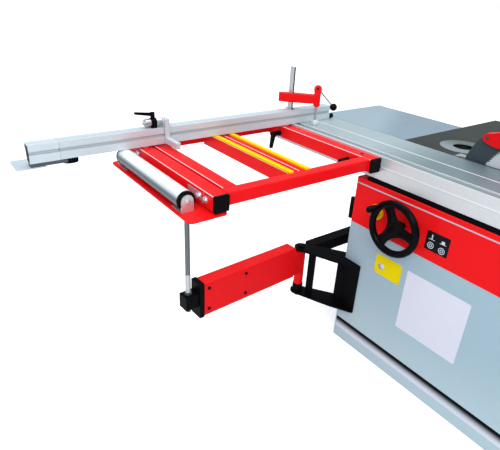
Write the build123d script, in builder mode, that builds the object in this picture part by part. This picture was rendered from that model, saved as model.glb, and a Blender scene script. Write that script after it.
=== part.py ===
# Combination circular saw and spindle moulder with a sliding table and outrigger.
# Millimetres. Origin: centre of the cabinet's footprint on the floor.
# +X runs from the outrigger to the main table, +Y away from the operator, +Z up.
from build123d import *
import os
from math import atan2, cos, degrees, hypot, radians, sin

os.makedirs("parts", exist_ok=True)

# Fits and clearances
RUN = 0.05            # radial play of a shaft in its bore
PLAY = 0.3            # play between parts that pass each other
SLIDE_PLAY = 0.4      # play of a bar in its guide

# Cabinet
CABINET_WIDTH = 620.0
CABINET_LENGTH = 1090.0
COWL_TOP = 757.0
BAND_HEIGHT = 187.0   # red band at the top of the cabinet
SHEET = 3.0
CABINET_CORNER = 8.0
BASE_FLANGE = 60.0
BASE_FLANGE_T = 5.0
ANCHOR_R = 7.0
ANCHOR_INSET = 35.0
TOP_FLANGE = 45.0
SEAM_LIP = 20.0
DOOR_INSET = 30.0     # from the cabinet's sides to the door opening
DOOR_DROP = 115.0     # the opening's lower edge under the band
DOOR_HEADER = 27.0    # left above the opening
DOOR_LAP = 8.0
LEFT = -CABINET_WIDTH / 2
RIGHT = CABINET_WIDTH / 2
FAR = CABINET_LENGTH / 2
NEAR = -CABINET_LENGTH / 2
BAND_Z = COWL_TOP - BAND_HEIGHT
DOOR_WIDTH = CABINET_WIDTH - 2 * DOOR_INSET
DOOR_BOTTOM = BAND_Z - DOOR_DROP
DOOR_TOP = COWL_TOP - DOOR_HEADER

# Tables
TABLE_TOP = 860.0
SLIDER_WIDTH = 256.0
SLIDER_INSET = 12.0   # from the cabinet's face to the sliding table's side
SLIDER_DEPTH = 87.0
SLIDER_LENGTH = 2000.0
SLIDER_OVER = 555.0   # the sliding table's reach past the cabinet's far end
SLIDER_SLAB = 24.0
SLIDER_WALL = 18.0
SLIDER_WEB = 10.0
LIP_T = 6.0
LIP_REACH = 38.0
CHANNEL_WIDTH = 120.0
TABLE_GAP = 2.0
MAIN_WIDTH = 700.0
MAIN_OVERHANG = 12.0  # of the main table over the cabinet's ends
PLATE_T = 10.0
RIM_DEPTH = 40.0
RIM_T = 10.0
WING_WIDTH = 412.0
WING_LENGTH = 482.0
WING_DEPTH = 40.0
SLIDER_LEFT = LEFT + SLIDER_INSET
SLIDER_RIGHT = SLIDER_LEFT + SLIDER_WIDTH
SLIDER_BOTTOM = TABLE_TOP - SLIDER_DEPTH
SLIDER_FAR = FAR + SLIDER_OVER
SLIDER_NEAR = SLIDER_FAR - SLIDER_LENGTH
CHANNEL_LEFT = SLIDER_LEFT + SLIDER_WALL
CHANNEL_RIGHT = CHANNEL_LEFT + CHANNEL_WIDTH
CHANNEL_TOP = TABLE_TOP - SLIDER_SLAB
MAIN_LEFT = SLIDER_RIGHT + TABLE_GAP
MAIN_CX = MAIN_LEFT + MAIN_WIDTH / 2
MAIN_LENGTH = CABINET_LENGTH + 2 * MAIN_OVERHANG
MAIN_FAR = MAIN_LENGTH / 2
PLATE_UNDER = TABLE_TOP - PLATE_T

# Side T-slot of the sliding table, and the groove and score line along its top
SLOT_OPENING = 8.0
SLOT_WIDE = 14.0
SLOT_LIP = 6.0
SLOT_DEPTH = 14.0
SIDE_SLOT_DROP = 38.0
TOP_GROOVE_INSET = 28.5
TOP_GROOVE_WIDTH = 25.0
TOP_GROOVE_DEPTH = 4.0
SCORE_INSET = 138.0
SCORE_SIZE = 4.0
SIDE_SLOT_Z = TABLE_TOP - SIDE_SLOT_DROP
TOP_GROOVE_X = SLIDER_LEFT + TOP_GROOVE_INSET
SCORE_X = SLIDER_LEFT + SCORE_INSET

# Fixed beam and roller cage under the sliding table
BEAM_SHORT = 45.0     # the beam ends this far inside the cabinet's far end
BEAM_FLANGE_T = 12.0
BEAM_FLANGE_WIDTH = 144.0
BEAM_FLANGE_INSET = 6.0
BEAM_WIDTH = 70.0
BEAM_SIDE_GAP = 18.0
ROLLER_GAP = 31.0
CAGE_T = 5.0
CAGE_LENGTH = 770.0
CAGE_NEAR = -350.0
CAGE_ROWS = 7
CAGE_ROLLER_LENGTH = 22.0
BEAM_NEAR = SLIDER_NEAR
BEAM_FAR = FAR - BEAM_SHORT
BEAM_LEFT = CHANNEL_LEFT + BEAM_SIDE_GAP
BEAM_TOP = CHANNEL_TOP - ROLLER_GAP
CAGE_R = ROLLER_GAP / 2 - PLAY
CAGE_Z = BEAM_TOP + ROLLER_GAP / 2

# Saw unit, tilting about the line where the blade meets the table top
BLADE_R = 157.5
BLADE_T = 3.2
BLADE_TEETH = 96
TOOTH_DEPTH = 6.0
ARBOR_R = 15.0
ARBOR_Y = 66.0
ARBOR_DROP = 52.0
BLADE_INSET = 15.0
FLANGE_R = 33.0
CRADLE_R = 190.0
CRADLE_T = 12.0
CRADLE_YS = (-302.0, 272.0)
CRADLE_RISE = 30.0    # above the band's lower edge
CRADLE_HEIGHT = 130.0
SHOE_WIDTH = 30.0
SHOE_START = -92.0
SHOE_END = -40.0
GUIDE_ROD_R = 12.0
GUIDE_ROD_YS = (-60.0, 190.0)
GUIDE_ROD_LENGTH = 185.0
BRIDGE = 30.0
BRIDGE_OFFSET = 50.0
BRIDGE_DROP = 110.0
MOTOR_R = 78.0
MOTOR_CLEAR = 24.0    # between the saw motor's end and the cabinet wall
SAW_MOTOR_DY = -256.0
SAW_MOTOR_DROP = 158.0
SLIDE_PLATE_T = 12.0
SLIDE_PLATE_INSET = 85.0
BELT_T = 6.0
BELT_WIDTH = 12.0
BELT_OFFSET = 10.0
PULLEY_WIDTH = 16.0
ARBOR_PULLEY_R = 32.0
SAW_PULLEY_R = 40.0
STANDOFF = 38.0
KNIFE_T = 2.5
KNIFE_GAP = 8.0
KNIFE_WIDTH = 70.0
GUARD_PIN_R = 6.0
GUARD_WIDTH = 32.0
GUARD_WALL = 2.5
INSERT_T = 3.0
INSERT_WIDTH = 48.0
INSERT_NEAR = -120.0
INSERT_FAR = 335.0
INSERT_LEDGE = 8.0
BLADE_SLOT = 10.0
BLADE_X = MAIN_LEFT + BLADE_INSET
ARBOR_Z = TABLE_TOP - ARBOR_DROP
PLATE_X = BLADE_X + SLIDE_PLATE_INSET
BRIDGE_X = PLATE_X + BRIDGE_OFFSET
BRIDGE_Z = TABLE_TOP - BRIDGE_DROP
BELT_X = PLATE_X + SLIDE_PLATE_T + BELT_OFFSET
SAW_MOTOR_Y = ARBOR_Y + SAW_MOTOR_DY
SAW_MOTOR_Z = ARBOR_Z - SAW_MOTOR_DROP
CRADLE_BOTTOM = BAND_Z + CRADLE_RISE
CRADLE_TOP = CRADLE_BOTTOM + CRADLE_HEIGHT
SAW_MOTOR_X = PLATE_X + SLIDE_PLATE_T + STANDOFF
MOTOR_LENGTH = RIGHT - SHEET - MOTOR_CLEAR - SAW_MOTOR_X

# Spindle unit
SPINDLE_INSET = 140.0
SPINDLE_Y = 380.0
SPINDLE_R = 15.0
SPINDLE_SHANK_R = 20.0
SPINDLE_DROP = 25.0   # the lowered spindle's top under the table top
SPINDLE_LENGTH = 120.0
QUILL_R = 42.0
QUILL_LENGTH = 190.0
RING_R = 90.0
RING_T = 6.0
RING_SPLIT_R = 64.0
RING_HOLE_R = 40.0
RING_LEDGE = 8.0
GUIDE_LENGTH = 45.0
GUIDE_WALL = 16.0
GUIDE_DROP = 195.0
NOSE_GAP = 5.0        # between the quill and the spindle's nose
SPINDLE_PULLEY_R = 30.0
MOULDER_PULLEY_R = 45.0
MOULDER_MOTOR_R = 74.0
MOULDER_MOTOR_LENGTH = 200.0
MOULDER_DX = -115.0
MOULDER_DY = 50.0
SPINDLE_X = MAIN_LEFT + SPINDLE_INSET
SPINDLE_TOP = TABLE_TOP - SPINDLE_DROP
GUIDE_BOTTOM = TABLE_TOP - GUIDE_DROP
QUILL_TOP = SPINDLE_TOP - SPINDLE_LENGTH - NOSE_GAP
QUILL_BOTTOM = QUILL_TOP - QUILL_LENGTH
MOULDER_X = SPINDLE_X + MOULDER_DX
MOULDER_Y = SPINDLE_Y + MOULDER_DY

# Outrigger frame
FRAME_DROP = 6.0      # the frame lies lower than the table top by the glide strips
TUBE = 50.0
TUBE_WALL = 3.0
TUBE_CORNER = 4.0
BAR = 40.0            # cross bars
BAR_HEIGHT = 42.0
FRAME_WIDTH = 709.0
FRAME_NEAR = 465.0
FRAME_LENGTH = 615.0
NEAR_BAR_SET = 4.0    # cross bar behind the ends of the side tubes
TUBE_SLOT = 10.0
PAIR_OFFSET = 310.0   # from the left side of the frame to the middle pair
PAIR_TUBE = 40.0
PAIR_SLOT = 8.0
STRIP_WIDTH = 18.0
STRIP_CORNER = 3.0
STRIP_LAP = 30.0      # of the glide strips over the near cross bar
CAP_T = 8.0
CAP_OVER = 1.0
FRAME_FAR = FRAME_NEAR + FRAME_LENGTH
FRAME_RIGHT = SLIDER_LEFT - CAP_OVER
FRAME_LEFT = FRAME_RIGHT - FRAME_WIDTH
FRAME_TOP = TABLE_TOP - FRAME_DROP
FRAME_UNDER = FRAME_TOP - TUBE

# Roller plate and support roller
PLATE_GAP = 6.0
PLATE_STEEL = 5.0
PLATE_WIDTH = 131.0
PLATE_OUT = 85.0      # the plate stands out left of the frame
PLATE_LEAD = 14.0     # the plate's near end before the frame
PLATE_LENGTH = 575.0
PLATE_CORNER = 16.0
ROLLER_R = 29.0
ROLLER_WALL = 4.0
ROLLER_OUT = 54.0
ROLLER_SET = 72.0     # the roller's near end behind the plate's
ROLLER_PROUD = 0.5
ROLLER_END_GAP = 2.0
ROLLER_LENGTH = 451.0
ROLLER_DISC = 12.0
AXLE_R = 8.0
AXLE_REACH = 10.0
BRACKET_T = 5.0
BRACKET_WIDTH = 40.0
BRACKET_FOOT = 62.0
FOOT_T = 2.5
PLATE_TOP = FRAME_UNDER - PLATE_GAP
ROLLER_X = FRAME_LEFT - ROLLER_OUT
ROLLER_Z = TABLE_TOP - ROLLER_R + ROLLER_PROUD
PLATE_NEAR = FRAME_NEAR - PLATE_LEAD
ROLLER_NEAR = PLATE_NEAR + ROLLER_SET
ROLLER_FAR = ROLLER_NEAR + ROLLER_LENGTH

# Crosscut fence
FENCE_SET = 129.0     # working face before the frame's far end
FENCE_DEPTH = 40.0
FENCE_HEIGHT = 59.0
FENCE_LIFT = 1.0
FENCE_INSET = 39.0    # the fence's right end from the sliding table's right edge
FENCE_LENGTH = 1201.0
LIP_BACK = 8.0
LIP_HEIGHT = 20.0
FENCE_SLOT_Z = 32.0
FENCE_SLOT = 11.0
FENCE_SLOT_WIDE = 17.0
FENCE_SLOT_LIP = 4.0
FENCE_SLOT_DEPTH = 12.0
CHAMBER_HEIGHT = 16.0
CHAMBER_WALL = 5.0
EXTENSION_LENGTH = 94.0
EXTENSION_GAP = 0.5
INNER_BAR_LENGTH = 640.0
STRIP_HEIGHT = 12.4
FENCE_Y = FRAME_FAR - FENCE_SET
FENCE_RIGHT = SLIDER_RIGHT - FENCE_INSET
FENCE_Z = TABLE_TOP + FENCE_LIFT
FENCE_TOP = FENCE_Z + FENCE_HEIGHT
FENCE_LEFT = FENCE_RIGHT - FENCE_LENGTH
EXTENSION_LEFT = FENCE_LEFT - EXTENSION_LENGTH

# Flip stop on the fence
STOP_AT = 368.0       # the finger's collar from the fence's left end
STOP_AXIS_DY = 24.0
STOP_AXIS_DZ = 18.0
STOP_SHAFT_R = 7.0
COLLAR_R = 14.0
COLLAR_LENGTH = 22.0
STOP_CLAMP_LENGTH = 20.0
FINGER_WIDTH = 17.0
FINGER_T = 8.0
FINGER_FOOT = 80.0
FINGER_FOOT_HEIGHT = 21.0
STOP_X = FENCE_LEFT + STOP_AT
STOP_AXIS_Y = FENCE_Y + STOP_AXIS_DY
STOP_AXIS_Z = FENCE_TOP + STOP_AXIS_DZ

# Hold-down clamp
COLUMN_T = 7.0
COLUMN_WIDTH = 26.0
COLUMN_INSET = 213.0  # from the fence's right end
COLUMN_SET = 34.0     # behind the fence's working face
COLUMN_HEIGHT = 175.0
HOLD_DX = 79.0
HOLD_DY = -80.0
HOLD_ARM_RISE = 31.0  # heights above the fence's top
HEAD_RISE = 17.0
CAM_PIN_RISE = 94.0
HOLD_ARM_HEIGHT = 36.0
HEAD_R = 14.0
HEAD_TAPER = 5.0
ARM_TIP_R = 13.0
CAM_PIN_R = 4.0
CAM_R = 19.0
CAM_OFFSET = 3.0
CAM_GAP = 1.0         # between the cam and the plunger
CAM_T = 8.0
CHEEK_T = 6.0
LEVER_REACH = 103.0
LEVER_SLOPE = -45.0
LEVER_ROD_R = 3.0
BALL_R = 15.5
PLUNGER_R = 5.5
PAD_R = 16.5
PAD_T = 18.0
PAD_LIFT = 1.5
COLUMN_X = FENCE_RIGHT - COLUMN_INSET
COLUMN_Y = FENCE_Y + COLUMN_SET
HOLD_X = COLUMN_X + HOLD_DX
HOLD_Y = COLUMN_Y + HOLD_DY
HOLD_ARM_Z = FENCE_TOP + HOLD_ARM_RISE
HEAD_BOTTOM = FENCE_TOP + HEAD_RISE
CAM_PIN_Z = FENCE_TOP + CAM_PIN_RISE
HEAD_TOP = CAM_PIN_Z - CAM_R - CAM_OFFSET - CAM_GAP

# Frame clamp levers
CLAMP_STUD_R = 3.8
CLAMP_HEAD_R = 6.0
CLAMP_BOSS_R = 11.0
CLAMP_BOSS_LENGTH = 42.0
CLAMP_HANDLE_LENGTH = 61.0
CLAMP_HANDLE_LEAN = 10.0
CLAMP_SET = 105.0     # from the frame's ends to the levers
CLAMP_NEAR_Y = FRAME_NEAR + CLAMP_SET
CLAMP_FAR_Y = FRAME_FAR - CLAMP_SET

# Swing arm and its bracket
PIVOT_DX = 98.0       # pivot left of the cabinet and behind its far end
PIVOT_DY = 160.0
PIN_R = 12.0
SLEEVE_R = 20.0
SLEEVE_BOTTOM = 217.0
SLEEVE_TOP = 384.0
BRACKET_HEADING = -61.0
FLANGE_WIDTH = 96.0
FLANGE_END_R = 30.0
FLANGE_T = 8.0
FLANGE_TOP_Z = 400.0
FLANGE_LOW_Z = 172.0
STRUT_AT = 54.0
STRUT_WIDTH = 30.0
STRUT_T = 12.0
WEB_AT = 166.0
WEB_T = 10.0
FACE_PLATE_T = 6.0
FACE_PLATE_WIDTH = 60.0
FACE_PLATE_LOW = 165.0
BRACE_SET = 137.0
BRACE = 50.0
BRACE_REACH = 250.0
ARM_HEADING = 183.0
ARM_WIDTH = 52.0
ARM_BOTTOM = 281.0
ARM_TOP = 422.0
ARM_WALL = 4.0
ARM_START = 62.0
ARM_END = 520.0
END_FRAME_T = 20.0
END_FRAME_OVER = 3.0
INNER_WIDTH = 40.0
INNER_HEIGHT = 50.0
INNER_Z = 333.0
INNER_START = 120.0
BLOCK_LENGTH = 54.0
BLOCK_OVER = 3.0
ROD_R = 9.0
ROD_AT = 572.0
ROD_GAP = 1.0
ROD_NUT_R = 14.0
ROD_NUT_T = 10.0
PIVOT_X = LEFT - PIVOT_DX
PIVOT_Y = FAR + PIVOT_DY
BRACE_Y = FAR + BRACE_SET
BRACE_RIGHT = LEFT + BRACE_REACH

# Handwheels and switches
WHEEL_R = 92.0        # rim centre line
WHEEL_RIM_R = 13.0
WHEEL_STAND = 55.0
WHEEL_HUB_R = 24.0
WHEEL_SHAFT_R = 11.0
WHEEL_SHAFT_IN = 60.0
WHEEL_SET = 239.0     # from the cabinet's far end
WHEEL_RISE = 80.0     # heights above the band's lower edge
SPOKES = 3
SPOKE_WIDTH = 34.0
SPOKE_SINK = 2.0
GRIP_R = 13.0
GRIP_LENGTH = 62.0
GRIP_PIN_R = 5.0
SAW_WHEEL_X = 60.0
SAW_WHEEL_RISE = 70.0
ESTOP_SET = 118.0
ESTOP_RISE = 85.0
ESTOP_BASE_R = 30.0
ESTOP_BASE_T = 8.0
ESTOP_HEAD_R = 20.0
ESTOP_HEAD_T = 14.0
ESTOP_STEM_R = 10.0
ESTOP_TRAVEL = 4.0
SWITCH_INSET = 80.0
SWITCH_RISE = 90.0
SWITCH_R = 28.0
SWITCH_T = 12.0
WHEEL_Y = FAR - WHEEL_SET
WHEEL_Z = BAND_Z + WHEEL_RISE
SAW_WHEEL_Z = BAND_Z + SAW_WHEEL_RISE
ESTOP_Y = FAR - ESTOP_SET
ESTOP_Z = BAND_Z + ESTOP_RISE
SWITCH_X = RIGHT - SWITCH_INSET
SWITCH_Z = BAND_Z + SWITCH_RISE

# Services on the right side of the cabinet
DUST_R = 50.0
DUST_WALL = 3.0
DUST_REACH = 70.0
DUST_Y = 150.0
DUST_Z = 220.0
GLAND_R = 10.0
GLAND_SET = 215.0     # from the cabinet's near end
GLAND_Z = 160.0
GLAND_Y = NEAR + GLAND_SET

# Door hinge on the far end
HINGE_PIN_R = 5.0
KNUCKLE_R = 9.0
HINGE_LENGTH = 87.0
HINGE_INSET = 10.0
HINGE_OUT = 11.0
HINGE_RISE = 122.0    # above the door opening's lower edge
HINGE_X = LEFT + HINGE_INSET
HINGE_Y = FAR + HINGE_OUT
HINGE_Z = DOOR_BOTTOM + HINGE_RISE


def save(part, label):
    """Names a finished piece and writes it as its own STEP file."""
    part.label = label
    export_step(part, f"parts/{label}.step")


def cross(y_far):
    """Plane of an X-Z profile whose extrusion runs from y_far towards the operator."""
    return Plane.XZ.offset(-y_far)


def block(x0, x1, y0, y1, z0, z1, mode=Mode.ADD):
    """Box between two corners, in the active part."""
    with Locations(((x0 + x1) / 2, (y0 + y1) / 2, (z0 + z1) / 2)):
        Box(x1 - x0, y1 - y0, z1 - z0, mode=mode)


def rod_x(x0, x1, y, z, radius, mode=Mode.ADD):
    """Round bar along X in the active part."""
    with BuildSketch(Plane.YZ.offset(x0)) as profile:
        with Locations((y, z)):
            Circle(radius)
    extrude(profile.sketch, amount=x1 - x0, mode=mode)


def rod_z(x, y, z0, z1, radius, mode=Mode.ADD):
    """Upright round bar in the active part."""
    with BuildSketch(Plane.XY.offset(z0)) as profile:
        with Locations((x, y)):
            Circle(radius)
    extrude(profile.sketch, amount=z1 - z0, mode=mode)


def hex_x(x0, x1, y, z, radius):
    """Hexagon bar along X in the active part, such as a bolt head."""
    with BuildSketch(Plane.YZ.offset(x0)) as profile:
        with Locations((y, z)):
            RegularPolygon(radius, 6)
    extrude(profile.sketch, amount=x1 - x0)


def hollow_section(width, height):
    """Cross-section of a square tube, in the active sketch."""
    RectangleRounded(width, height, TUBE_CORNER)
    RectangleRounded(width - 2 * TUBE_WALL, height - 2 * TUBE_WALL, TUBE_CORNER - TUBE_WALL,
                     mode=Mode.SUBTRACT)


def tube_y(x0, width, height, y0, y1):
    """Square tube along Y with its top at the frame's level, in the active part."""
    with BuildSketch(cross(y1)) as profile:
        with Locations((x0 + width / 2, FRAME_TOP - height / 2)):
            hollow_section(width, height)
    extrude(profile.sketch, amount=y1 - y0)


def tube_x(x0, x1, y0, width, height):
    """Cross bar along X with its top at the frame's level, in the active part."""
    with BuildSketch(Plane.YZ.offset(x0)) as profile:
        with Locations((y0 + width / 2, FRAME_TOP - height / 2)):
            hollow_section(width, height)
    extrude(profile.sketch, amount=x1 - x0)


# Cabinet shell: the grey lower half, open below and above, with an anchor flange
with BuildPart() as cabinet_shell:
    with BuildSketch():
        RectangleRounded(CABINET_WIDTH, CABINET_LENGTH, CABINET_CORNER)
        RectangleRounded(CABINET_WIDTH - 2 * SHEET, CABINET_LENGTH - 2 * SHEET, CABINET_CORNER - SHEET,
                         mode=Mode.SUBTRACT)
    extrude(amount=BAND_Z)
    with BuildSketch():
        RectangleRounded(CABINET_WIDTH, CABINET_LENGTH, CABINET_CORNER)
        Rectangle(CABINET_WIDTH - 2 * BASE_FLANGE, CABINET_LENGTH - 2 * BASE_FLANGE, mode=Mode.SUBTRACT)
        with GridLocations(CABINET_WIDTH - 2 * ANCHOR_INSET, CABINET_LENGTH - 2 * ANCHOR_INSET, 2, 2):
            Circle(ANCHOR_R, mode=Mode.SUBTRACT)
    extrude(amount=BASE_FLANGE_T)
    with BuildSketch(Plane.XY.offset(BAND_Z - SHEET)):
        RectangleRounded(CABINET_WIDTH, CABINET_LENGTH, CABINET_CORNER)
        Rectangle(CABINET_WIDTH - 2 * SEAM_LIP, CABINET_LENGTH - 2 * SEAM_LIP, mode=Mode.SUBTRACT)
    extrude(amount=SHEET)
    block(-DOOR_WIDTH / 2, DOOR_WIDTH / 2, FAR - SEAM_LIP - SHEET, FAR + SHEET, DOOR_BOTTOM, BAND_Z,
          mode=Mode.SUBTRACT)
    rod_x(RIGHT - 2 * SHEET, RIGHT + SHEET, DUST_Y, DUST_Z, DUST_R - DUST_WALL, mode=Mode.SUBTRACT)
    rod_x(RIGHT - 2 * SHEET, RIGHT + SHEET, GLAND_Y, GLAND_Z, GLAND_R, mode=Mode.SUBTRACT)
save(cabinet_shell.part, "cabinet_shell")

# Top cowl: the red upper band with the flange that carries the tables
with BuildPart() as top_cowl:
    with BuildSketch(Plane.XY.offset(BAND_Z)):
        RectangleRounded(CABINET_WIDTH, CABINET_LENGTH, CABINET_CORNER)
        RectangleRounded(CABINET_WIDTH - 2 * SHEET, CABINET_LENGTH - 2 * SHEET, CABINET_CORNER - SHEET,
                         mode=Mode.SUBTRACT)
    extrude(amount=BAND_HEIGHT)
    with BuildSketch(Plane.XY.offset(COWL_TOP - SHEET)):
        RectangleRounded(CABINET_WIDTH, CABINET_LENGTH, CABINET_CORNER)
        Rectangle(CABINET_WIDTH - 2 * TOP_FLANGE, CABINET_LENGTH - 2 * TOP_FLANGE, mode=Mode.SUBTRACT)
    extrude(amount=SHEET)
    block(-DOOR_WIDTH / 2, DOOR_WIDTH / 2, FAR - 2 * SHEET, FAR + SHEET, BAND_Z, DOOR_TOP,
          mode=Mode.SUBTRACT)
    rod_x(LEFT - SHEET, LEFT + 2 * SHEET, WHEEL_Y, WHEEL_Z, WHEEL_SHAFT_R + PLAY, mode=Mode.SUBTRACT)
    rod_x(LEFT - SHEET, LEFT + 2 * SHEET, ESTOP_Y, ESTOP_Z, ESTOP_STEM_R + PLAY, mode=Mode.SUBTRACT)
    with BuildSketch(Plane.XZ.offset(FAR)):
        with Locations((SAW_WHEEL_X, SAW_WHEEL_Z)):
            Circle(WHEEL_SHAFT_R + PLAY)
        with Locations((SWITCH_X, SWITCH_Z)):
            Circle(GRIP_PIN_R + RUN)
    extrude(amount=2 * SHEET, both=True, mode=Mode.SUBTRACT)
save(top_cowl.part, "top_cowl")

# Cradles: cross plates with the arc seats on which the saw unit tilts
with BuildPart() as saw_cradles:
    for y in CRADLE_YS:
        with BuildSketch(cross(y + CRADLE_T / 2)):
            with Locations((0, (CRADLE_BOTTOM + CRADLE_TOP) / 2)):
                Rectangle(CABINET_WIDTH - 2 * SHEET, CRADLE_TOP - CRADLE_BOTTOM)
            with Locations((BLADE_X, TABLE_TOP)):
                Circle(CRADLE_R, mode=Mode.SUBTRACT)
        extrude(amount=CRADLE_T)
save(saw_cradles.part, "saw_cradles")

# Main table: ribbed casting with the saw opening, ring seat and quill guide
FOOT_SETS = (80.0, 310.0)
FOOT_SIZE = 36.0
RIB_T = 10.0
RIB_DEPTH = 30.0
RIB_SETS = (440.0, 570.0)
RIB_NEAR_SET = 157.0
RIB_FAR_SET = 77.0
WELL_T = 12.0
WELL_R = 100.0
GUIDE_RELIEF = 4.0
with BuildPart() as main_table:
    block(MAIN_LEFT, MAIN_LEFT + MAIN_WIDTH, -MAIN_FAR, MAIN_FAR, PLATE_UNDER, TABLE_TOP)
    with BuildSketch(Plane.XY.offset(TABLE_TOP - RIM_DEPTH)):
        with Locations((MAIN_CX, 0)):
            Rectangle(MAIN_WIDTH, MAIN_LENGTH)
            Rectangle(MAIN_WIDTH - 2 * RIM_T, MAIN_LENGTH - 2 * RIM_T, mode=Mode.SUBTRACT)
    extrude(amount=RIM_DEPTH - PLATE_T)
    for y in (RIB_NEAR_SET - MAIN_FAR, MAIN_FAR - RIB_FAR_SET):
        block(MAIN_LEFT, MAIN_LEFT + MAIN_WIDTH, y, y + RIB_T, PLATE_UNDER - RIB_DEPTH, PLATE_UNDER)
    for x in (MAIN_LEFT + rib for rib in RIB_SETS):
        block(x, x + RIB_T, -MAIN_FAR, MAIN_FAR, PLATE_UNDER - RIB_DEPTH, PLATE_UNDER)
    for x in (MAIN_LEFT + foot for foot in FOOT_SETS):
        for y in (NEAR + TOP_FLANGE / 2, FAR - TOP_FLANGE / 2):
            block(x - FOOT_SIZE / 2, x + FOOT_SIZE / 2, y - FOOT_SIZE / 2, y + FOOT_SIZE / 2, COWL_TOP,
                  PLATE_UNDER)
    rod_z(SPINDLE_X, SPINDLE_Y, PLATE_UNDER - WELL_T, PLATE_UNDER, WELL_R)
    rod_z(SPINDLE_X, SPINDLE_Y, GUIDE_BOTTOM, PLATE_UNDER, QUILL_R + GUIDE_WALL)
    rod_z(SPINDLE_X, SPINDLE_Y, TABLE_TOP - RING_T, TABLE_TOP, RING_R, mode=Mode.SUBTRACT)
    rod_z(SPINDLE_X, SPINDLE_Y, PLATE_UNDER, TABLE_TOP, RING_R - RING_LEDGE, mode=Mode.SUBTRACT)
    rod_z(SPINDLE_X, SPINDLE_Y, GUIDE_BOTTOM + GUIDE_LENGTH, PLATE_UNDER, QUILL_R + GUIDE_RELIEF,
          mode=Mode.SUBTRACT)
    rod_z(SPINDLE_X, SPINDLE_Y, GUIDE_BOTTOM, PLATE_UNDER, QUILL_R + RUN, mode=Mode.SUBTRACT)
    block(MAIN_LEFT, MAIN_LEFT + INSERT_WIDTH + TABLE_GAP, INSERT_NEAR - PLAY, INSERT_FAR + PLAY,
          TABLE_TOP - INSERT_T, TABLE_TOP, mode=Mode.SUBTRACT)
    block(MAIN_LEFT, MAIN_LEFT + INSERT_WIDTH + TABLE_GAP - INSERT_LEDGE, INSERT_NEAR + INSERT_LEDGE,
          INSERT_FAR - INSERT_LEDGE, TABLE_TOP - RIM_DEPTH, TABLE_TOP, mode=Mode.SUBTRACT)
save(main_table.part, "main_table")

# Saw insert: thin strip with the blade slot
with BuildPart() as saw_insert:
    with BuildSketch(Plane.XY.offset(TABLE_TOP - INSERT_T)):
        insert_y = (INSERT_NEAR + INSERT_FAR) / 2
        insert_length = INSERT_FAR - INSERT_NEAR
        with Locations((MAIN_LEFT + TABLE_GAP + INSERT_WIDTH / 2 - PLAY, insert_y)):
            Rectangle(INSERT_WIDTH - PLAY, insert_length)
        with Locations((BLADE_X - BLADE_T / 2, insert_y)):
            SlotOverall(insert_length - 3 * INSERT_LEDGE, BLADE_SLOT, rotation=90, mode=Mode.SUBTRACT)
    extrude(amount=INSERT_T)
save(saw_insert.part, "saw_insert")

# Spindle rings: a stepped outer ring with a loose inner ring
with BuildPart() as spindle_rings:
    rod_z(SPINDLE_X, SPINDLE_Y, TABLE_TOP - RING_T, TABLE_TOP, RING_R - PLAY)
    rod_z(SPINDLE_X, SPINDLE_Y, TABLE_TOP - RING_T / 2, TABLE_TOP, RING_SPLIT_R, mode=Mode.SUBTRACT)
    rod_z(SPINDLE_X, SPINDLE_Y, TABLE_TOP - RING_T, TABLE_TOP, RING_SPLIT_R - RING_LEDGE, mode=Mode.SUBTRACT)
    with BuildSketch(Plane.XY.offset(TABLE_TOP - RING_T / 2 + RUN)):
        with Locations((SPINDLE_X, SPINDLE_Y)):
            Circle(RING_SPLIT_R - PLAY)
            Circle(RING_HOLE_R, mode=Mode.SUBTRACT)
    extrude(amount=RING_T / 2 - RUN)
save(spindle_rings.part, "spindle_rings")

# Far wing: folded sheet table behind the main table
WING_LEFT = MAIN_LEFT + TABLE_GAP
WING_RIGHT = WING_LEFT + WING_WIDTH
WING_FAR = MAIN_FAR + WING_LENGTH
WING_RIB = 30.0
with BuildPart() as far_wing:
    block(WING_LEFT, WING_RIGHT, MAIN_FAR, WING_FAR, TABLE_TOP - WING_DEPTH, TABLE_TOP)
    block(WING_LEFT + SHEET, WING_RIGHT - SHEET, MAIN_FAR + SHEET, WING_FAR - SHEET,
          TABLE_TOP - WING_DEPTH, TABLE_TOP - SHEET, mode=Mode.SUBTRACT)
    for share in (1 / 3, 2 / 3):
        x = WING_LEFT + share * WING_WIDTH
        block(x - SHEET, x + SHEET, MAIN_FAR, WING_FAR, TABLE_TOP - WING_RIB, TABLE_TOP - SHEET)
save(far_wing.part, "far_wing")

# Slide beam: the fixed black beam that carries the sliding table
BEAM_GROOVE = 8.0
with BuildPart() as slide_beam:
    with BuildSketch(cross(BEAM_FAR)):
        with Locations((LEFT + BEAM_FLANGE_INSET + BEAM_FLANGE_WIDTH / 2, COWL_TOP + BEAM_FLANGE_T / 2)):
            Rectangle(BEAM_FLANGE_WIDTH, BEAM_FLANGE_T)
        with Locations((BEAM_LEFT + BEAM_WIDTH / 2, (COWL_TOP + BEAM_TOP) / 2)):
            Rectangle(BEAM_WIDTH, BEAM_TOP - COWL_TOP)
        for x in (BEAM_LEFT, BEAM_LEFT + BEAM_WIDTH):
            with Locations((x, (COWL_TOP + BEAM_FLANGE_T + BEAM_TOP) / 2)):
                Rectangle(2 * BEAM_GROOVE, 2 * BEAM_GROOVE, mode=Mode.SUBTRACT)
    extrude(amount=BEAM_FAR - BEAM_NEAR)
save(slide_beam.part, "slide_beam")


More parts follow.
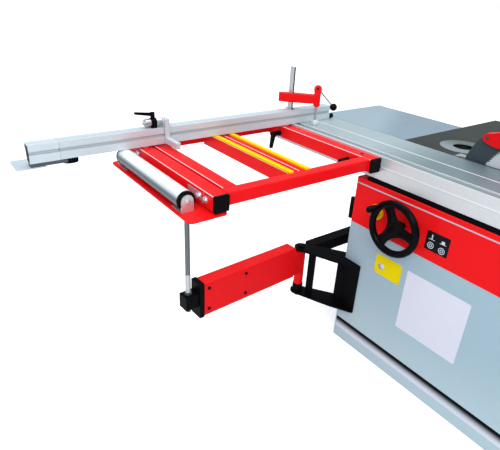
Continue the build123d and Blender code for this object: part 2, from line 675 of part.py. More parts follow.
def slider_outline():
    """Outer outline of the sliding table's extrusion, as a face of the active sketch."""
    with BuildLine() as outline:
        Polyline(
            (SLIDER_LEFT, SLIDER_BOTTOM), (SLIDER_LEFT, TABLE_TOP), (SLIDER_RIGHT, TABLE_TOP),
            (SLIDER_RIGHT, TABLE_TOP - LIP_T), (SLIDER_RIGHT - LIP_REACH, TABLE_TOP - LIP_T),
            (SLIDER_RIGHT - LIP_REACH, TABLE_TOP - 2 * LIP_T),
            (CHANNEL_RIGHT + SLIDER_WEB, SLIDER_BOTTOM + LIP_T), (CHANNEL_RIGHT + SLIDER_WEB, SLIDER_BOTTOM),
            close=True)
    make_face(outline.edges())


def slider_channel():
    """Cuts the running channel out of the sliding table's outline, in the active sketch."""
    with Locations(((CHANNEL_LEFT + CHANNEL_RIGHT) / 2, (SLIDER_BOTTOM + CHANNEL_TOP) / 2)):
        Rectangle(CHANNEL_WIDTH, CHANNEL_TOP - SLIDER_BOTTOM, mode=Mode.SUBTRACT)


# Sliding table: aluminium extrusion, undercut at the blade so the saw can tilt
GUSSET_WALL = 8.0
with BuildPart() as sliding_table:
    with BuildSketch(cross(SLIDER_FAR)):
        slider_outline()
        slider_channel()
        with Locations((SLIDER_LEFT + SLOT_DEPTH / 2, SIDE_SLOT_Z)):
            Rectangle(SLOT_DEPTH, SLOT_OPENING, mode=Mode.SUBTRACT)
        with Locations((SLIDER_LEFT + (SLOT_LIP + SLOT_DEPTH) / 2, SIDE_SLOT_Z)):
            Rectangle(SLOT_DEPTH - SLOT_LIP, SLOT_WIDE, mode=Mode.SUBTRACT)
        with Locations((TOP_GROOVE_X, TABLE_TOP - TOP_GROOVE_DEPTH / 2)):
            Rectangle(TOP_GROOVE_WIDTH, TOP_GROOVE_DEPTH, mode=Mode.SUBTRACT)
        with Locations((SCORE_X, TABLE_TOP)):
            Rectangle(SCORE_SIZE, SCORE_SIZE, rotation=45, mode=Mode.SUBTRACT)
        gusset_left = CHANNEL_RIGHT + SLIDER_WEB
        gusset_top = TABLE_TOP - 2 * LIP_T - GUSSET_WALL
        gusset_size = min(SLIDER_RIGHT - LIP_REACH - 3 * GUSSET_WALL - gusset_left,
                          gusset_top - SLIDER_BOTTOM)
        with BuildLine():
            Polyline((gusset_left, gusset_top), (gusset_left + gusset_size, gusset_top),
                     (gusset_left, gusset_top - gusset_size), close=True)
        make_face(mode=Mode.SUBTRACT)
    extrude(amount=SLIDER_LENGTH)
save(sliding_table.part, "sliding_table")

# Roller cage between the beam and the sliding table, running at half the table's pace
with BuildPart() as roller_cage:
    block(BEAM_LEFT + PLAY, BEAM_LEFT + BEAM_WIDTH - PLAY, CAGE_NEAR, CAGE_NEAR + CAGE_LENGTH,
          CAGE_Z - CAGE_T / 2, CAGE_Z + CAGE_T / 2)
    row_pitch = CAGE_LENGTH / CAGE_ROWS
    for row in range(CAGE_ROWS):
        y = CAGE_NEAR + (row + 0.5) * row_pitch
        for x in (BEAM_LEFT + CAGE_T, BEAM_LEFT + BEAM_WIDTH - CAGE_T - CAGE_ROLLER_LENGTH):
            block(x - PLAY, x + CAGE_ROLLER_LENGTH + PLAY, y - CAGE_R - PLAY, y + CAGE_R + PLAY,
                  CAGE_Z - CAGE_T, CAGE_Z + CAGE_T, mode=Mode.SUBTRACT)
            rod_x(x, x + CAGE_ROLLER_LENGTH, y, CAGE_Z, CAGE_R)
save(roller_cage.part, "roller_cage")

# Outrigger frame: welded square tubes with the roller plate under the left end
PAIR_LEFT = FRAME_LEFT + PAIR_OFFSET
TUBE_INNER_LEFT = FRAME_LEFT + TUBE + TUBE_SLOT
NEAR_BAR_Y = FRAME_NEAR + NEAR_BAR_SET
FAR_BAR_Y = FRAME_FAR - NEAR_BAR_SET - BAR
RIGHT_TUBE_X = FRAME_RIGHT - TUBE
PAD_LENGTH = 30.0
HOLE_R = 6.0
HOLE_SET = 63.0
PAD_SHARES = (0.15, 0.5, 0.85)
with BuildPart() as outrigger_frame:
    tube_y(FRAME_LEFT, TUBE, TUBE, FRAME_NEAR, FRAME_FAR)
    tube_y(RIGHT_TUBE_X, TUBE, TUBE, FRAME_NEAR, FRAME_FAR)
    tube_y(TUBE_INNER_LEFT, TUBE, TUBE, NEAR_BAR_Y + BAR, FAR_BAR_Y)
    tube_y(PAIR_LEFT, PAIR_TUBE, TUBE, NEAR_BAR_Y + BAR, FAR_BAR_Y)
    tube_y(PAIR_LEFT + PAIR_TUBE + PAIR_SLOT, PAIR_TUBE, TUBE, NEAR_BAR_Y + BAR, FAR_BAR_Y)
    tube_x(FRAME_LEFT + TUBE, RIGHT_TUBE_X, NEAR_BAR_Y, BAR, BAR_HEIGHT)
    tube_x(FRAME_LEFT + TUBE, RIGHT_TUBE_X, FAR_BAR_Y, BAR, BAR_HEIGHT)
    with BuildSketch(Plane.XY.offset(PLATE_TOP - PLATE_STEEL)):
        with Locations((FRAME_LEFT - PLATE_OUT + PLATE_WIDTH / 2, PLATE_NEAR + PLATE_LENGTH / 2)):
            RectangleRounded(PLATE_WIDTH, PLATE_LENGTH, PLATE_CORNER)
    extrude(amount=PLATE_STEEL)
    for share in PAD_SHARES:
        y = PLATE_NEAR + share * PLATE_LENGTH
        x_end = FRAME_LEFT - PLATE_OUT + PLATE_WIDTH - TUBE_CORNER
        block(FRAME_LEFT + 2 * TUBE_CORNER, x_end, y - PAD_LENGTH / 2, y + PAD_LENGTH / 2,
              PLATE_TOP, FRAME_UNDER)
    for y in (CLAMP_NEAR_Y, CLAMP_FAR_Y):
        rod_x(FRAME_RIGHT - TUBE_WALL, SLIDER_LEFT, y, SIDE_SLOT_Z, CLAMP_BOSS_R)
        rod_x(RIGHT_TUBE_X, SLIDER_LEFT, y, SIDE_SLOT_Z, CLAMP_STUD_R + RUN, mode=Mode.SUBTRACT)
    rod_z(RIGHT_TUBE_X + TUBE / 2, FRAME_NEAR + HOLE_SET, FRAME_TOP - TUBE_WALL, FRAME_TOP, HOLE_R,
          mode=Mode.SUBTRACT)
save(outrigger_frame.part, "outrigger_frame")

# End caps: plastic caps of the side tubes and of the sliding table, and the fence's end buffer
BUFFER_R = 10.0
BUFFER_LENGTH = 26.0
with BuildPart() as end_caps:
    for x in (FRAME_LEFT, RIGHT_TUBE_X):
        for y in (FRAME_NEAR, FRAME_FAR + CAP_T):
            with BuildSketch(cross(y)):
                with Locations((x + TUBE / 2, FRAME_TOP - TUBE / 2)):
                    RectangleRounded(TUBE + 2 * CAP_OVER - SLIDE_PLAY, TUBE + 2 * CAP_OVER, TUBE_CORNER)
            extrude(amount=CAP_T)
    for y in (SLIDER_FAR + CAP_T, SLIDER_NEAR):
        with BuildSketch(cross(y)):
            slider_outline()
            slider_channel()
        extrude(amount=CAP_T)
    rod_x(FENCE_RIGHT, FENCE_RIGHT + BUFFER_LENGTH, FENCE_Y + BUFFER_R, FENCE_Z + BUFFER_R, BUFFER_R)
save(end_caps.part, "end_caps")

# Glide strips: two plastic strips on the middle pair, level with the table top
with BuildPart() as glide_strips:
    pair_width = 2 * PAIR_TUBE + PAIR_SLOT
    for x in (PAIR_LEFT, PAIR_LEFT + pair_width - STRIP_WIDTH):
        with BuildSketch(Plane.XY.offset(FRAME_TOP)):
            y0 = NEAR_BAR_Y + STRIP_LAP
            with Locations((x + STRIP_WIDTH / 2, (y0 + FAR_BAR_Y) / 2)):
                RectangleRounded(STRIP_WIDTH, FAR_BAR_Y - y0, STRIP_CORNER)
        extrude(amount=FRAME_DROP)
save(glide_strips.part, "glide_strips")

# Roller brackets: round-topped plates with a foot under the roller and an axle stub
with BuildPart() as roller_brackets:
    face_gap = BRACKET_T + ROLLER_END_GAP
    for face_y, inward in ((ROLLER_NEAR - face_gap, 1), (ROLLER_FAR + face_gap, -1)):
        with BuildSketch(cross(max(face_y, face_y + inward * BRACKET_T))):
            with Locations((ROLLER_X, (PLATE_TOP + ROLLER_Z) / 2)):
                Rectangle(BRACKET_WIDTH, ROLLER_Z - PLATE_TOP)
            with Locations((ROLLER_X, ROLLER_Z)):
                Circle(BRACKET_WIDTH / 2)
        extrude(amount=BRACKET_T)
        foot_end = face_y + inward * BRACKET_FOOT
        block(ROLLER_X - BRACKET_WIDTH / 2, ROLLER_X + BRACKET_WIDTH / 2, min(face_y, foot_end),
              max(face_y, foot_end), PLATE_TOP, PLATE_TOP + FOOT_T)
        stub_end = face_y + inward * (face_gap + AXLE_REACH)
        with BuildSketch(cross(max(face_y, stub_end))):
            with Locations((ROLLER_X, ROLLER_Z)):
                Circle(AXLE_R)
        extrude(amount=abs(stub_end - face_y))
save(roller_brackets.part, "roller_brackets")

# Support roller: steel tube with bored end discs
with BuildPart() as support_roller:
    with BuildSketch(cross(ROLLER_FAR)):
        with Locations((ROLLER_X, ROLLER_Z)):
            Circle(ROLLER_R)
            Circle(ROLLER_R - ROLLER_WALL, mode=Mode.SUBTRACT)
    extrude(amount=ROLLER_LENGTH)
    for y in (ROLLER_NEAR + ROLLER_DISC, ROLLER_FAR):
        with BuildSketch(cross(y)):
            with Locations((ROLLER_X, ROLLER_Z)):
                Circle(ROLLER_R - ROLLER_WALL)
                Circle(AXLE_R + RUN, mode=Mode.SUBTRACT)
        extrude(amount=ROLLER_DISC)
save(support_roller.part, "support_roller")

# Frame bolts: hexagon bolts with washers on the left tube, and their strap
BOLT_SETS = (40.0, 77.0, 510.0)
BOLT_DROP = 23.0
BOLT_R = 8.0
WASHER_R = 11.0
WASHER_T = 2.0
STRAP_LENGTH = 66.0
STRAP_HEIGHT = 24.0
with BuildPart() as frame_bolts:
    bolt_z = FRAME_TOP - BOLT_DROP
    strap_y = FRAME_NEAR + BOLT_SETS[1]
    block(FRAME_LEFT - WASHER_T, FRAME_LEFT, strap_y - STRAP_HEIGHT / 2, strap_y + STRAP_LENGTH,
          bolt_z - STRAP_HEIGHT / 2, bolt_z + STRAP_HEIGHT / 2)
    for y in (FRAME_NEAR + bolt for bolt in BOLT_SETS):
        rod_x(FRAME_LEFT - 2 * WASHER_T, FRAME_LEFT, y, bolt_z, WASHER_R)
        hex_x(FRAME_LEFT - 2 * WASHER_T - BOLT_R, FRAME_LEFT - 2 * WASHER_T, y, bolt_z, BOLT_R)
save(frame_bolts.part, "frame_bolts")


def fence_outline():
    """Outer outline of the fence's extrusion with its face groove, in the active sketch."""
    with Locations((FENCE_Y + FENCE_DEPTH / 2, FENCE_Z + FENCE_HEIGHT / 2)):
        Rectangle(FENCE_DEPTH, FENCE_HEIGHT)
    with Locations((FENCE_Y + FENCE_DEPTH + LIP_BACK / 2, FENCE_TOP - LIP_HEIGHT / 2)):
        Rectangle(LIP_BACK, LIP_HEIGHT)
    with Locations((FENCE_Y + FENCE_SLOT_DEPTH / 2, FENCE_Z + FENCE_SLOT_Z)):
        Rectangle(FENCE_SLOT_DEPTH, FENCE_SLOT, mode=Mode.SUBTRACT)
    with Locations((FENCE_Y + (FENCE_SLOT_LIP + FENCE_SLOT_DEPTH) / 2, FENCE_Z + FENCE_SLOT_Z)):
        Rectangle(FENCE_SLOT_DEPTH - FENCE_SLOT_LIP, FENCE_SLOT_WIDE, mode=Mode.SUBTRACT)
    with Locations((FENCE_Y + FENCE_DEPTH / 2, FENCE_TOP)):
        Rectangle(SCORE_SIZE, SCORE_SIZE, mode=Mode.SUBTRACT)


# Crosscut fence: hollow extrusion with a chamber for the extension's bar
KNOB_SET = 36.0
KNOB_X = FENCE_LEFT + KNOB_SET
KNOB_STUD_R = 5.0
CHAMBER_Y = FENCE_Y + FENCE_DEPTH / 2
CHAMBER_DEPTH = FENCE_DEPTH - 2 * CHAMBER_WALL
CHAMBER_Z = FENCE_Z + CHAMBER_WALL + CHAMBER_HEIGHT / 2
UPPER_HEIGHT = 11.0


def fence_chambers():
    """The two hollows of the fence's extrusion, as faces of the active sketch."""
    with Locations((CHAMBER_Y, CHAMBER_Z)):
        Rectangle(CHAMBER_DEPTH, CHAMBER_HEIGHT)
    with Locations((CHAMBER_Y, FENCE_TOP - CHAMBER_WALL - UPPER_HEIGHT / 2)):
        Rectangle(CHAMBER_DEPTH, UPPER_HEIGHT)


with BuildPart() as crosscut_fence:
    with BuildSketch(Plane.YZ.offset(FENCE_LEFT)):
        fence_outline()
    extrude(amount=FENCE_LENGTH)
    with BuildSketch(Plane.YZ.offset(FENCE_LEFT)):
        fence_chambers()
    extrude(amount=FENCE_LENGTH, mode=Mode.SUBTRACT)
    rod_z(KNOB_X, CHAMBER_Y, FENCE_Z, FENCE_Z + CHAMBER_WALL, KNOB_STUD_R + RUN, mode=Mode.SUBTRACT)
    for x in (FRAME_LEFT + TUBE / 2, RIGHT_TUBE_X + TUBE / 2):
        rod_z(x, CHAMBER_Y, FRAME_TOP, FENCE_Z, FENCE_DEPTH / 3)
save(crosscut_fence.part, "crosscut_fence")

# Fence extension: a short length of the same profile on a bar that runs in the fence
BAR_ROOT = 30.0       # solid end that carries the bar
with BuildPart() as fence_extension:
    with BuildSketch(Plane.YZ.offset(EXTENSION_LEFT)):
        fence_outline()
    extrude(amount=EXTENSION_LENGTH - EXTENSION_GAP)
    with BuildSketch(Plane.YZ.offset(EXTENSION_LEFT)):
        fence_chambers()
    extrude(amount=EXTENSION_LENGTH - BAR_ROOT, mode=Mode.SUBTRACT)
    with BuildSketch(Plane.YZ.offset(FENCE_LEFT - EXTENSION_GAP)):
        with Locations((CHAMBER_Y, CHAMBER_Z)):
            Rectangle(CHAMBER_DEPTH - 2 * SLIDE_PLAY, CHAMBER_HEIGHT - 2 * SLIDE_PLAY)
    extrude(amount=INNER_BAR_LENGTH)
    block(EXTENSION_LEFT, FENCE_LEFT - EXTENSION_GAP, FENCE_Y, FENCE_Y + FENCE_DEPTH - LIP_BACK,
          FENCE_Z - STRIP_HEIGHT, FENCE_Z)
save(fence_extension.part, "fence_extension")

# Extension shoe: thin plate under the extension's end that carries long work
SHOE_OUT = 44.0
SHOE_LENGTH = 90.0
SHOE_DEPTH = 104.0
SHOE_T = 2.0
SHOE_CORNER = 8.0
with BuildPart() as extension_shoe:
    with BuildSketch(Plane.XY.offset(FENCE_Z - STRIP_HEIGHT - SHOE_T)):
        with Locations((EXTENSION_LEFT - SHOE_OUT + SHOE_LENGTH / 2, FENCE_Y - LIP_BACK + SHOE_DEPTH / 2)):
            RectangleRounded(SHOE_LENGTH, SHOE_DEPTH, SHOE_CORNER)
    extrude(amount=SHOE_T)
save(extension_shoe.part, "extension_shoe")

# Extension knob: oval clamping knob under the fence
KNOB_LENGTH = 24.0
KNOB_WIDTH = 13.0
KNOB_T = 22.0
KNOB_ROUND = 5.0
with BuildPart() as extension_knob:
    with BuildSketch(Plane.XY.offset(FENCE_Z - PLAY - KNOB_T)):
        with Locations((KNOB_X, CHAMBER_Y)):
            Ellipse(KNOB_LENGTH, KNOB_WIDTH)
    extrude(amount=KNOB_T)
    fillet(extension_knob.faces().sort_by(Axis.Z)[0].edges(), KNOB_ROUND)
    rod_z(KNOB_X, CHAMBER_Y, FENCE_Z - PLAY, FENCE_Z + CHAMBER_WALL - PLAY, KNOB_STUD_R)
save(extension_knob.part, "extension_knob")

# Flip stop: a clamp on the fence, a shaft with two collars, the lever and the finger
CLAMP_RIGHT = STOP_X - COLLAR_LENGTH
CLAMP_LEFT = CLAMP_RIGHT - STOP_CLAMP_LENGTH
CLAMP_MID = (CLAMP_LEFT + CLAMP_RIGHT) / 2
CLAMP_OVER = 2.0      # the clamp's ring stands over the collars
LEVER_SOCKET = 4.0
CLAMP_CROWN = STOP_AXIS_Z + COLLAR_R + CLAMP_OVER
CLAMP_BACK = FENCE_Y + FENCE_DEPTH + 2 * LIP_BACK
with BuildPart() as stop_clamp:
    with BuildSketch(Plane.YZ.offset(CLAMP_LEFT)):
        with Locations((STOP_AXIS_Y, STOP_AXIS_Z)):
            Circle(COLLAR_R + CLAMP_OVER)
        with Locations((STOP_AXIS_Y, (FENCE_TOP + PLAY + STOP_AXIS_Z) / 2)):
            Rectangle(2 * COLLAR_R, STOP_AXIS_Z - FENCE_TOP - PLAY)
        with Locations((STOP_AXIS_Y, STOP_AXIS_Z)):
            Circle(STOP_SHAFT_R + RUN, mode=Mode.SUBTRACT)
    extrude(amount=STOP_CLAMP_LENGTH)
    block(CLAMP_LEFT, CLAMP_RIGHT, FENCE_Y + FENCE_DEPTH + LIP_BACK + PLAY, CLAMP_BACK,
          FENCE_TOP - LIP_HEIGHT, STOP_AXIS_Z)
    block(CLAMP_LEFT, CLAMP_RIGHT, STOP_AXIS_Y, CLAMP_BACK, FENCE_TOP + PLAY, STOP_AXIS_Z)
    rod_x(CLAMP_LEFT, CLAMP_RIGHT, STOP_AXIS_Y, STOP_AXIS_Z, STOP_SHAFT_R + RUN, mode=Mode.SUBTRACT)
    rod_z(CLAMP_MID, STOP_AXIS_Y, CLAMP_CROWN - LEVER_SOCKET, CLAMP_CROWN, KNOB_STUD_R + RUN,
          mode=Mode.SUBTRACT)
save(stop_clamp.part, "stop_clamp")

SHAFT_TAIL = 6.0
GRUB_R = 2.5
GRUB_LENGTH = 2.0
with BuildPart() as stop_shaft:
    rod_x(CLAMP_LEFT - COLLAR_LENGTH - SHAFT_TAIL, STOP_X + FINGER_WIDTH + SHAFT_TAIL, STOP_AXIS_Y,
          STOP_AXIS_Z, STOP_SHAFT_R)
    for x in (CLAMP_LEFT - COLLAR_LENGTH, CLAMP_RIGHT):
        rod_x(x + PLAY, x + COLLAR_LENGTH - PLAY, STOP_AXIS_Y, STOP_AXIS_Z, COLLAR_R)
        with BuildSketch(cross(STOP_AXIS_Y)):
            with Locations((x + COLLAR_LENGTH / 2, STOP_AXIS_Z)):
                Circle(GRUB_R)
        extrude(amount=COLLAR_R + PLAY, mode=Mode.SUBTRACT)
        rod_x(x + PLAY, x + COLLAR_LENGTH - PLAY, STOP_AXIS_Y, STOP_AXIS_Z, STOP_SHAFT_R + GRUB_LENGTH)
save(stop_shaft.part, "stop_shaft")

HANDLE_LENGTH = 64.0
HANDLE_T = 8.0
HANDLE_RISE = 10.0
BOSS_R = 8.0
BOSS_HEIGHT = 20.0
with BuildPart() as stop_lever:
    rod_z(CLAMP_MID, STOP_AXIS_Y, CLAMP_CROWN - LEVER_SOCKET + PLAY, CLAMP_CROWN + PLAY, KNOB_STUD_R)
    rod_z(CLAMP_MID, STOP_AXIS_Y, CLAMP_CROWN + PLAY, CLAMP_CROWN + BOSS_HEIGHT, BOSS_R)
    with BuildSketch(cross(STOP_AXIS_Y + HANDLE_T / 2)):
        with Locations((CLAMP_MID, CLAMP_CROWN + BOSS_HEIGHT - BOSS_R)):
            Circle(0.75 * BOSS_R)
        with Locations((CLAMP_MID - HANDLE_LENGTH, CLAMP_CROWN + BOSS_HEIGHT + HANDLE_RISE - HANDLE_T)):
            Circle(HANDLE_T / 2)
        make_hull()
    extrude(amount=HANDLE_T)
save(stop_lever.part, "stop_lever")

FINGER_GAP = 2.0
FINGER_LIFT = 3.0
FINGER_FRONT = FENCE_Y - FINGER_GAP - FINGER_T
FINGER_BOTTOM = FENCE_Z + FINGER_LIFT
with BuildPart() as stop_finger:
    with BuildSketch(Plane.YZ.offset(STOP_X + PLAY)):
        with Locations((STOP_AXIS_Y, STOP_AXIS_Z)):
            Circle(COLLAR_R)
        with Locations(((FINGER_FRONT + STOP_AXIS_Y) / 2, STOP_AXIS_Z + COLLAR_R - FINGER_FOOT_HEIGHT / 2)):
            Rectangle(STOP_AXIS_Y - FINGER_FRONT, FINGER_FOOT_HEIGHT)
        with Locations((FINGER_FRONT + FINGER_T / 2, (FINGER_BOTTOM + STOP_AXIS_Z + COLLAR_R) / 2)):
            Rectangle(FINGER_T, STOP_AXIS_Z + COLLAR_R - FINGER_BOTTOM)
        with Locations((FINGER_FRONT - FINGER_FOOT / 2, FINGER_BOTTOM + FINGER_FOOT_HEIGHT / 2)):
            Rectangle(FINGER_FOOT, FINGER_FOOT_HEIGHT)
        with Locations((STOP_AXIS_Y, STOP_AXIS_Z)):
            Circle(STOP_SHAFT_R + RUN, mode=Mode.SUBTRACT)
    extrude(amount=FINGER_WIDTH - PLAY)
save(stop_finger.part, "stop_finger")

# Hold-down clamp: column on the fence, arm, cam lever and plunger
COLUMN_FOOT = 5.0
COLUMN_FOOT_T = 3.0


def column_block(over, z0, z1, mode=Mode.ADD):
    """Upright block round the column's section, larger by over on each side, in the active part."""
    half_t = COLUMN_T / 2 + over
    half_width = COLUMN_WIDTH / 2 + over
    block(COLUMN_X - half_t, COLUMN_X + half_t, COLUMN_Y - half_width, COLUMN_Y + half_width, z0, z1,
          mode=mode)


with BuildPart() as clamp_column:
    column_block(COLUMN_FOOT, FENCE_TOP, FENCE_TOP + COLUMN_FOOT_T)
    column_block(0, FENCE_TOP, FENCE_TOP + COLUMN_HEIGHT)
save(clamp_column.part, "clamp_column")

HOLD_REACH = hypot(HOLD_DX, HOLD_DY)
ARM_TAIL = 40.0
ARM_EYE_R = 20.0
ARM_X = HOLD_DX / HOLD_REACH
ARM_Y = HOLD_DY / HOLD_REACH
hold_plane = Plane(origin=(COLUMN_X, COLUMN_Y, HOLD_ARM_Z), x_dir=(ARM_X, ARM_Y, 0), z_dir=(0, 0, 1))


def cam_face(side):
    """Upright plane along the arm through the head, shifted across the arm by side; z is up."""
    return Plane(origin=(HOLD_X + side * ARM_Y, HOLD_Y - side * ARM_X, 0), x_dir=(ARM_X, ARM_Y, 0),
                 z_dir=(ARM_Y, -ARM_X, 0))


with BuildPart() as hold_down_arm:
    with BuildSketch(hold_plane):
        with Locations((-ARM_TAIL, 0)):
            Circle(ARM_TIP_R)
        Circle(ARM_EYE_R)
        make_hull()
    extrude(amount=HOLD_ARM_HEIGHT)
    with BuildSketch(hold_plane):
        Circle(ARM_EYE_R)
        with Locations((HOLD_REACH, 0)):
            Circle(ARM_TIP_R)
        make_hull()
    extrude(amount=HOLD_ARM_HEIGHT)
    rod_z(HOLD_X, HOLD_Y, HEAD_BOTTOM, HEAD_TOP, HEAD_R)
    chamfer(hold_down_arm.faces().sort_by(Axis.Z)[0].edges(), HEAD_TAPER)
    for near_side in (-CAM_T / 2 - PLAY - CHEEK_T, CAM_T / 2 + PLAY):
        with BuildSketch(cam_face(near_side)):
            with Locations((0, (HEAD_TOP + CAM_PIN_Z) / 2)):
                Rectangle(2 * HEAD_R, CAM_PIN_Z - HEAD_TOP)
            with Locations((0, CAM_PIN_Z)):
                Circle(HEAD_R)
                Circle(CAM_PIN_R + RUN, mode=Mode.SUBTRACT)
        extrude(amount=CHEEK_T)
    column_block(SLIDE_PLAY, HOLD_ARM_Z, HOLD_ARM_Z + HOLD_ARM_HEIGHT, mode=Mode.SUBTRACT)
    rod_z(HOLD_X, HOLD_Y, HEAD_BOTTOM, CAM_PIN_Z - CAM_R, PLUNGER_R + RUN, mode=Mode.SUBTRACT)
save(hold_down_arm.part, "hold_down_arm")

LEVER_OUT = cos(radians(LEVER_SLOPE))
LEVER_UP = sin(radians(LEVER_SLOPE))
PIN_SIDE = CAM_T / 2 + PLAY + CHEEK_T
lever_way = (ARM_X * LEVER_OUT, ARM_Y * LEVER_OUT, LEVER_UP)
with BuildPart() as cam_lever:
    with BuildSketch(cam_face(-CAM_T / 2)):
        with Locations((0, CAM_PIN_Z - CAM_OFFSET)):
            Circle(CAM_R)
    extrude(amount=CAM_T)
    with BuildSketch(cam_face(-PIN_SIDE)):
        with Locations((0, CAM_PIN_Z)):
            Circle(CAM_PIN_R)
    extrude(amount=2 * PIN_SIDE)
    with BuildSketch(Plane(origin=(HOLD_X, HOLD_Y, CAM_PIN_Z), z_dir=lever_way)):
        Circle(LEVER_ROD_R)
    extrude(amount=LEVER_REACH)
    with Locations([(HOLD_X + LEVER_REACH * lever_way[0], HOLD_Y + LEVER_REACH * lever_way[1],
                     CAM_PIN_Z + LEVER_REACH * lever_way[2])]):
        Sphere(BALL_R)
save(cam_lever.part, "cam_lever")

PAD_BOTTOM = TABLE_TOP + PAD_LIFT
with BuildPart() as hold_down_plunger:
    rod_z(HOLD_X, HOLD_Y, PAD_BOTTOM, HEAD_TOP, PLUNGER_R)
    rod_z(HOLD_X, HOLD_Y, PAD_BOTTOM, PAD_BOTTOM + PAD_T, PAD_R)
    chamfer(hold_down_plunger.edges().filter_by(GeomType.CIRCLE).group_by(SortBy.RADIUS)[-1], PAD_LIFT)
save(hold_down_plunger.part, "hold_down_plunger")

# Frame clamp levers: studs through the right tube into the sliding table's side slot
BOSS_OUT = RIGHT_TUBE_X - PLAY - CLAMP_BOSS_LENGTH
HANDLE_THICK = 12.0
STUD_END = SLIDER_LEFT + SLOT_DEPTH - PLAY
for place, lever_y in (("near", CLAMP_NEAR_Y), ("far", CLAMP_FAR_Y)):
    with BuildPart() as frame_lever:
        rod_x(BOSS_OUT, STUD_END, lever_y, SIDE_SLOT_Z, CLAMP_STUD_R)
        rod_x(SLIDER_LEFT + SLOT_LIP + PLAY, STUD_END, lever_y, SIDE_SLOT_Z, CLAMP_HEAD_R)
        rod_x(BOSS_OUT, RIGHT_TUBE_X - PLAY, lever_y, SIDE_SLOT_Z, CLAMP_BOSS_R)
        with BuildSketch(Plane.YZ.offset(BOSS_OUT)):
            with Locations((lever_y, SIDE_SLOT_Z)):
                Circle(CLAMP_BOSS_R)
            with Locations((lever_y + CLAMP_HANDLE_LEAN, SIDE_SLOT_Z - CLAMP_HANDLE_LENGTH)):
                Circle(HANDLE_THICK / 2)
            make_hull()
        extrude(amount=HANDLE_THICK)
    save(frame_lever.part, f"frame_lever_{place}")

# Swing bracket: two flange plates with strut and web, wrapped round the cabinet's far corner
bracket_way = (cos(radians(BRACKET_HEADING)), sin(radians(BRACKET_HEADING)), 0)
bracket_plane = Plane(origin=(PIVOT_X, PIVOT_Y, 0), x_dir=bracket_way, z_dir=(0, 0, 1))
BRACKET_REACH = 260.0
BRACE_FOOT = 25.0     # the brace's foot plate stands over the brace
BRACE_LEG_Y = FAR + FACE_PLATE_T
BOSS_BRACKET_R = 22.0
PLATE_LOW = FLANGE_LOW_Z + FLANGE_T
PLATE_HIGH = FLANGE_TOP_Z - FLANGE_T
with BuildPart() as swing_bracket:
    for z in (FLANGE_LOW_Z, PLATE_HIGH):
        with BuildSketch(bracket_plane.offset(z)):
            Circle(FLANGE_END_R)
            with Locations(((WEB_AT + BRACKET_REACH) / 2, 0)):
                Rectangle(BRACKET_REACH - WEB_AT, FLANGE_WIDTH)
            make_hull()
        extrude(amount=FLANGE_T)
    with BuildSketch(bracket_plane.offset(PLATE_LOW)):
        with Locations((STRUT_AT, 0)):
            Rectangle(STRUT_WIDTH, STRUT_T)
        with Locations(((WEB_AT + BRACKET_REACH) / 2, 0)):
            Rectangle(BRACKET_REACH - WEB_AT, WEB_T)
    extrude(amount=PLATE_HIGH - PLATE_LOW)
    block(BRACE_RIGHT - BRACE, BRACE_RIGHT, BRACE_LEG_Y, BRACE_Y + BRACE, FLANGE_TOP_Z - BRACE, FLANGE_TOP_Z)
    block(PIVOT_X + FLANGE_WIDTH / 2, BRACE_RIGHT, BRACE_Y, BRACE_Y + BRACE,
          FLANGE_TOP_Z - BRACE, FLANGE_TOP_Z)
    block(LEFT - FACE_PLATE_T, RIGHT, -FAR, FAR + FACE_PLATE_T, FLANGE_LOW_Z, FLANGE_TOP_Z,
          mode=Mode.SUBTRACT)
    block(LEFT - FACE_PLATE_T, LEFT, FAR - FACE_PLATE_WIDTH, FAR + FACE_PLATE_T, FACE_PLATE_LOW, FLANGE_TOP_Z)
    block(LEFT, LEFT + FACE_PLATE_WIDTH, FAR, FAR + FACE_PLATE_T, FACE_PLATE_LOW, FLANGE_TOP_Z)
    block(BRACE_RIGHT - BRACE - BRACE_FOOT, BRACE_RIGHT + BRACE_FOOT, FAR, FAR + FACE_PLATE_T,
          FLANGE_TOP_Z - BRACE - BRACE_FOOT, FLANGE_TOP_Z + BRACE_FOOT)
    rod_z(PIVOT_X, PIVOT_Y, PLATE_LOW, SLEEVE_BOTTOM - PLAY, BOSS_BRACKET_R)
    rod_z(PIVOT_X, PIVOT_Y, FLANGE_LOW_Z, FLANGE_TOP_Z, PIN_R, mode=Mode.SUBTRACT)
save(swing_bracket.part, "swing_bracket")

PIN_HEAD_R = 14.0
PIN_HEAD_T = 8.0
with BuildPart() as pivot_pin:
    rod_z(PIVOT_X, PIVOT_Y, FLANGE_LOW_Z - PIN_HEAD_T, FLANGE_TOP_Z, PIN_R)
    rod_z(PIVOT_X, PIVOT_Y, FLANGE_TOP_Z, FLANGE_TOP_Z + PIN_HEAD_T, PIN_HEAD_R)
    with BuildSketch(Plane.XY.offset(FLANGE_LOW_Z - 2 * PIN_HEAD_T)):
        with Locations((PIVOT_X, PIVOT_Y)):
            RegularPolygon(PIN_HEAD_R, 6)
    extrude(amount=2 * PIN_HEAD_T - PLAY)
save(pivot_pin.part, "pivot_pin")

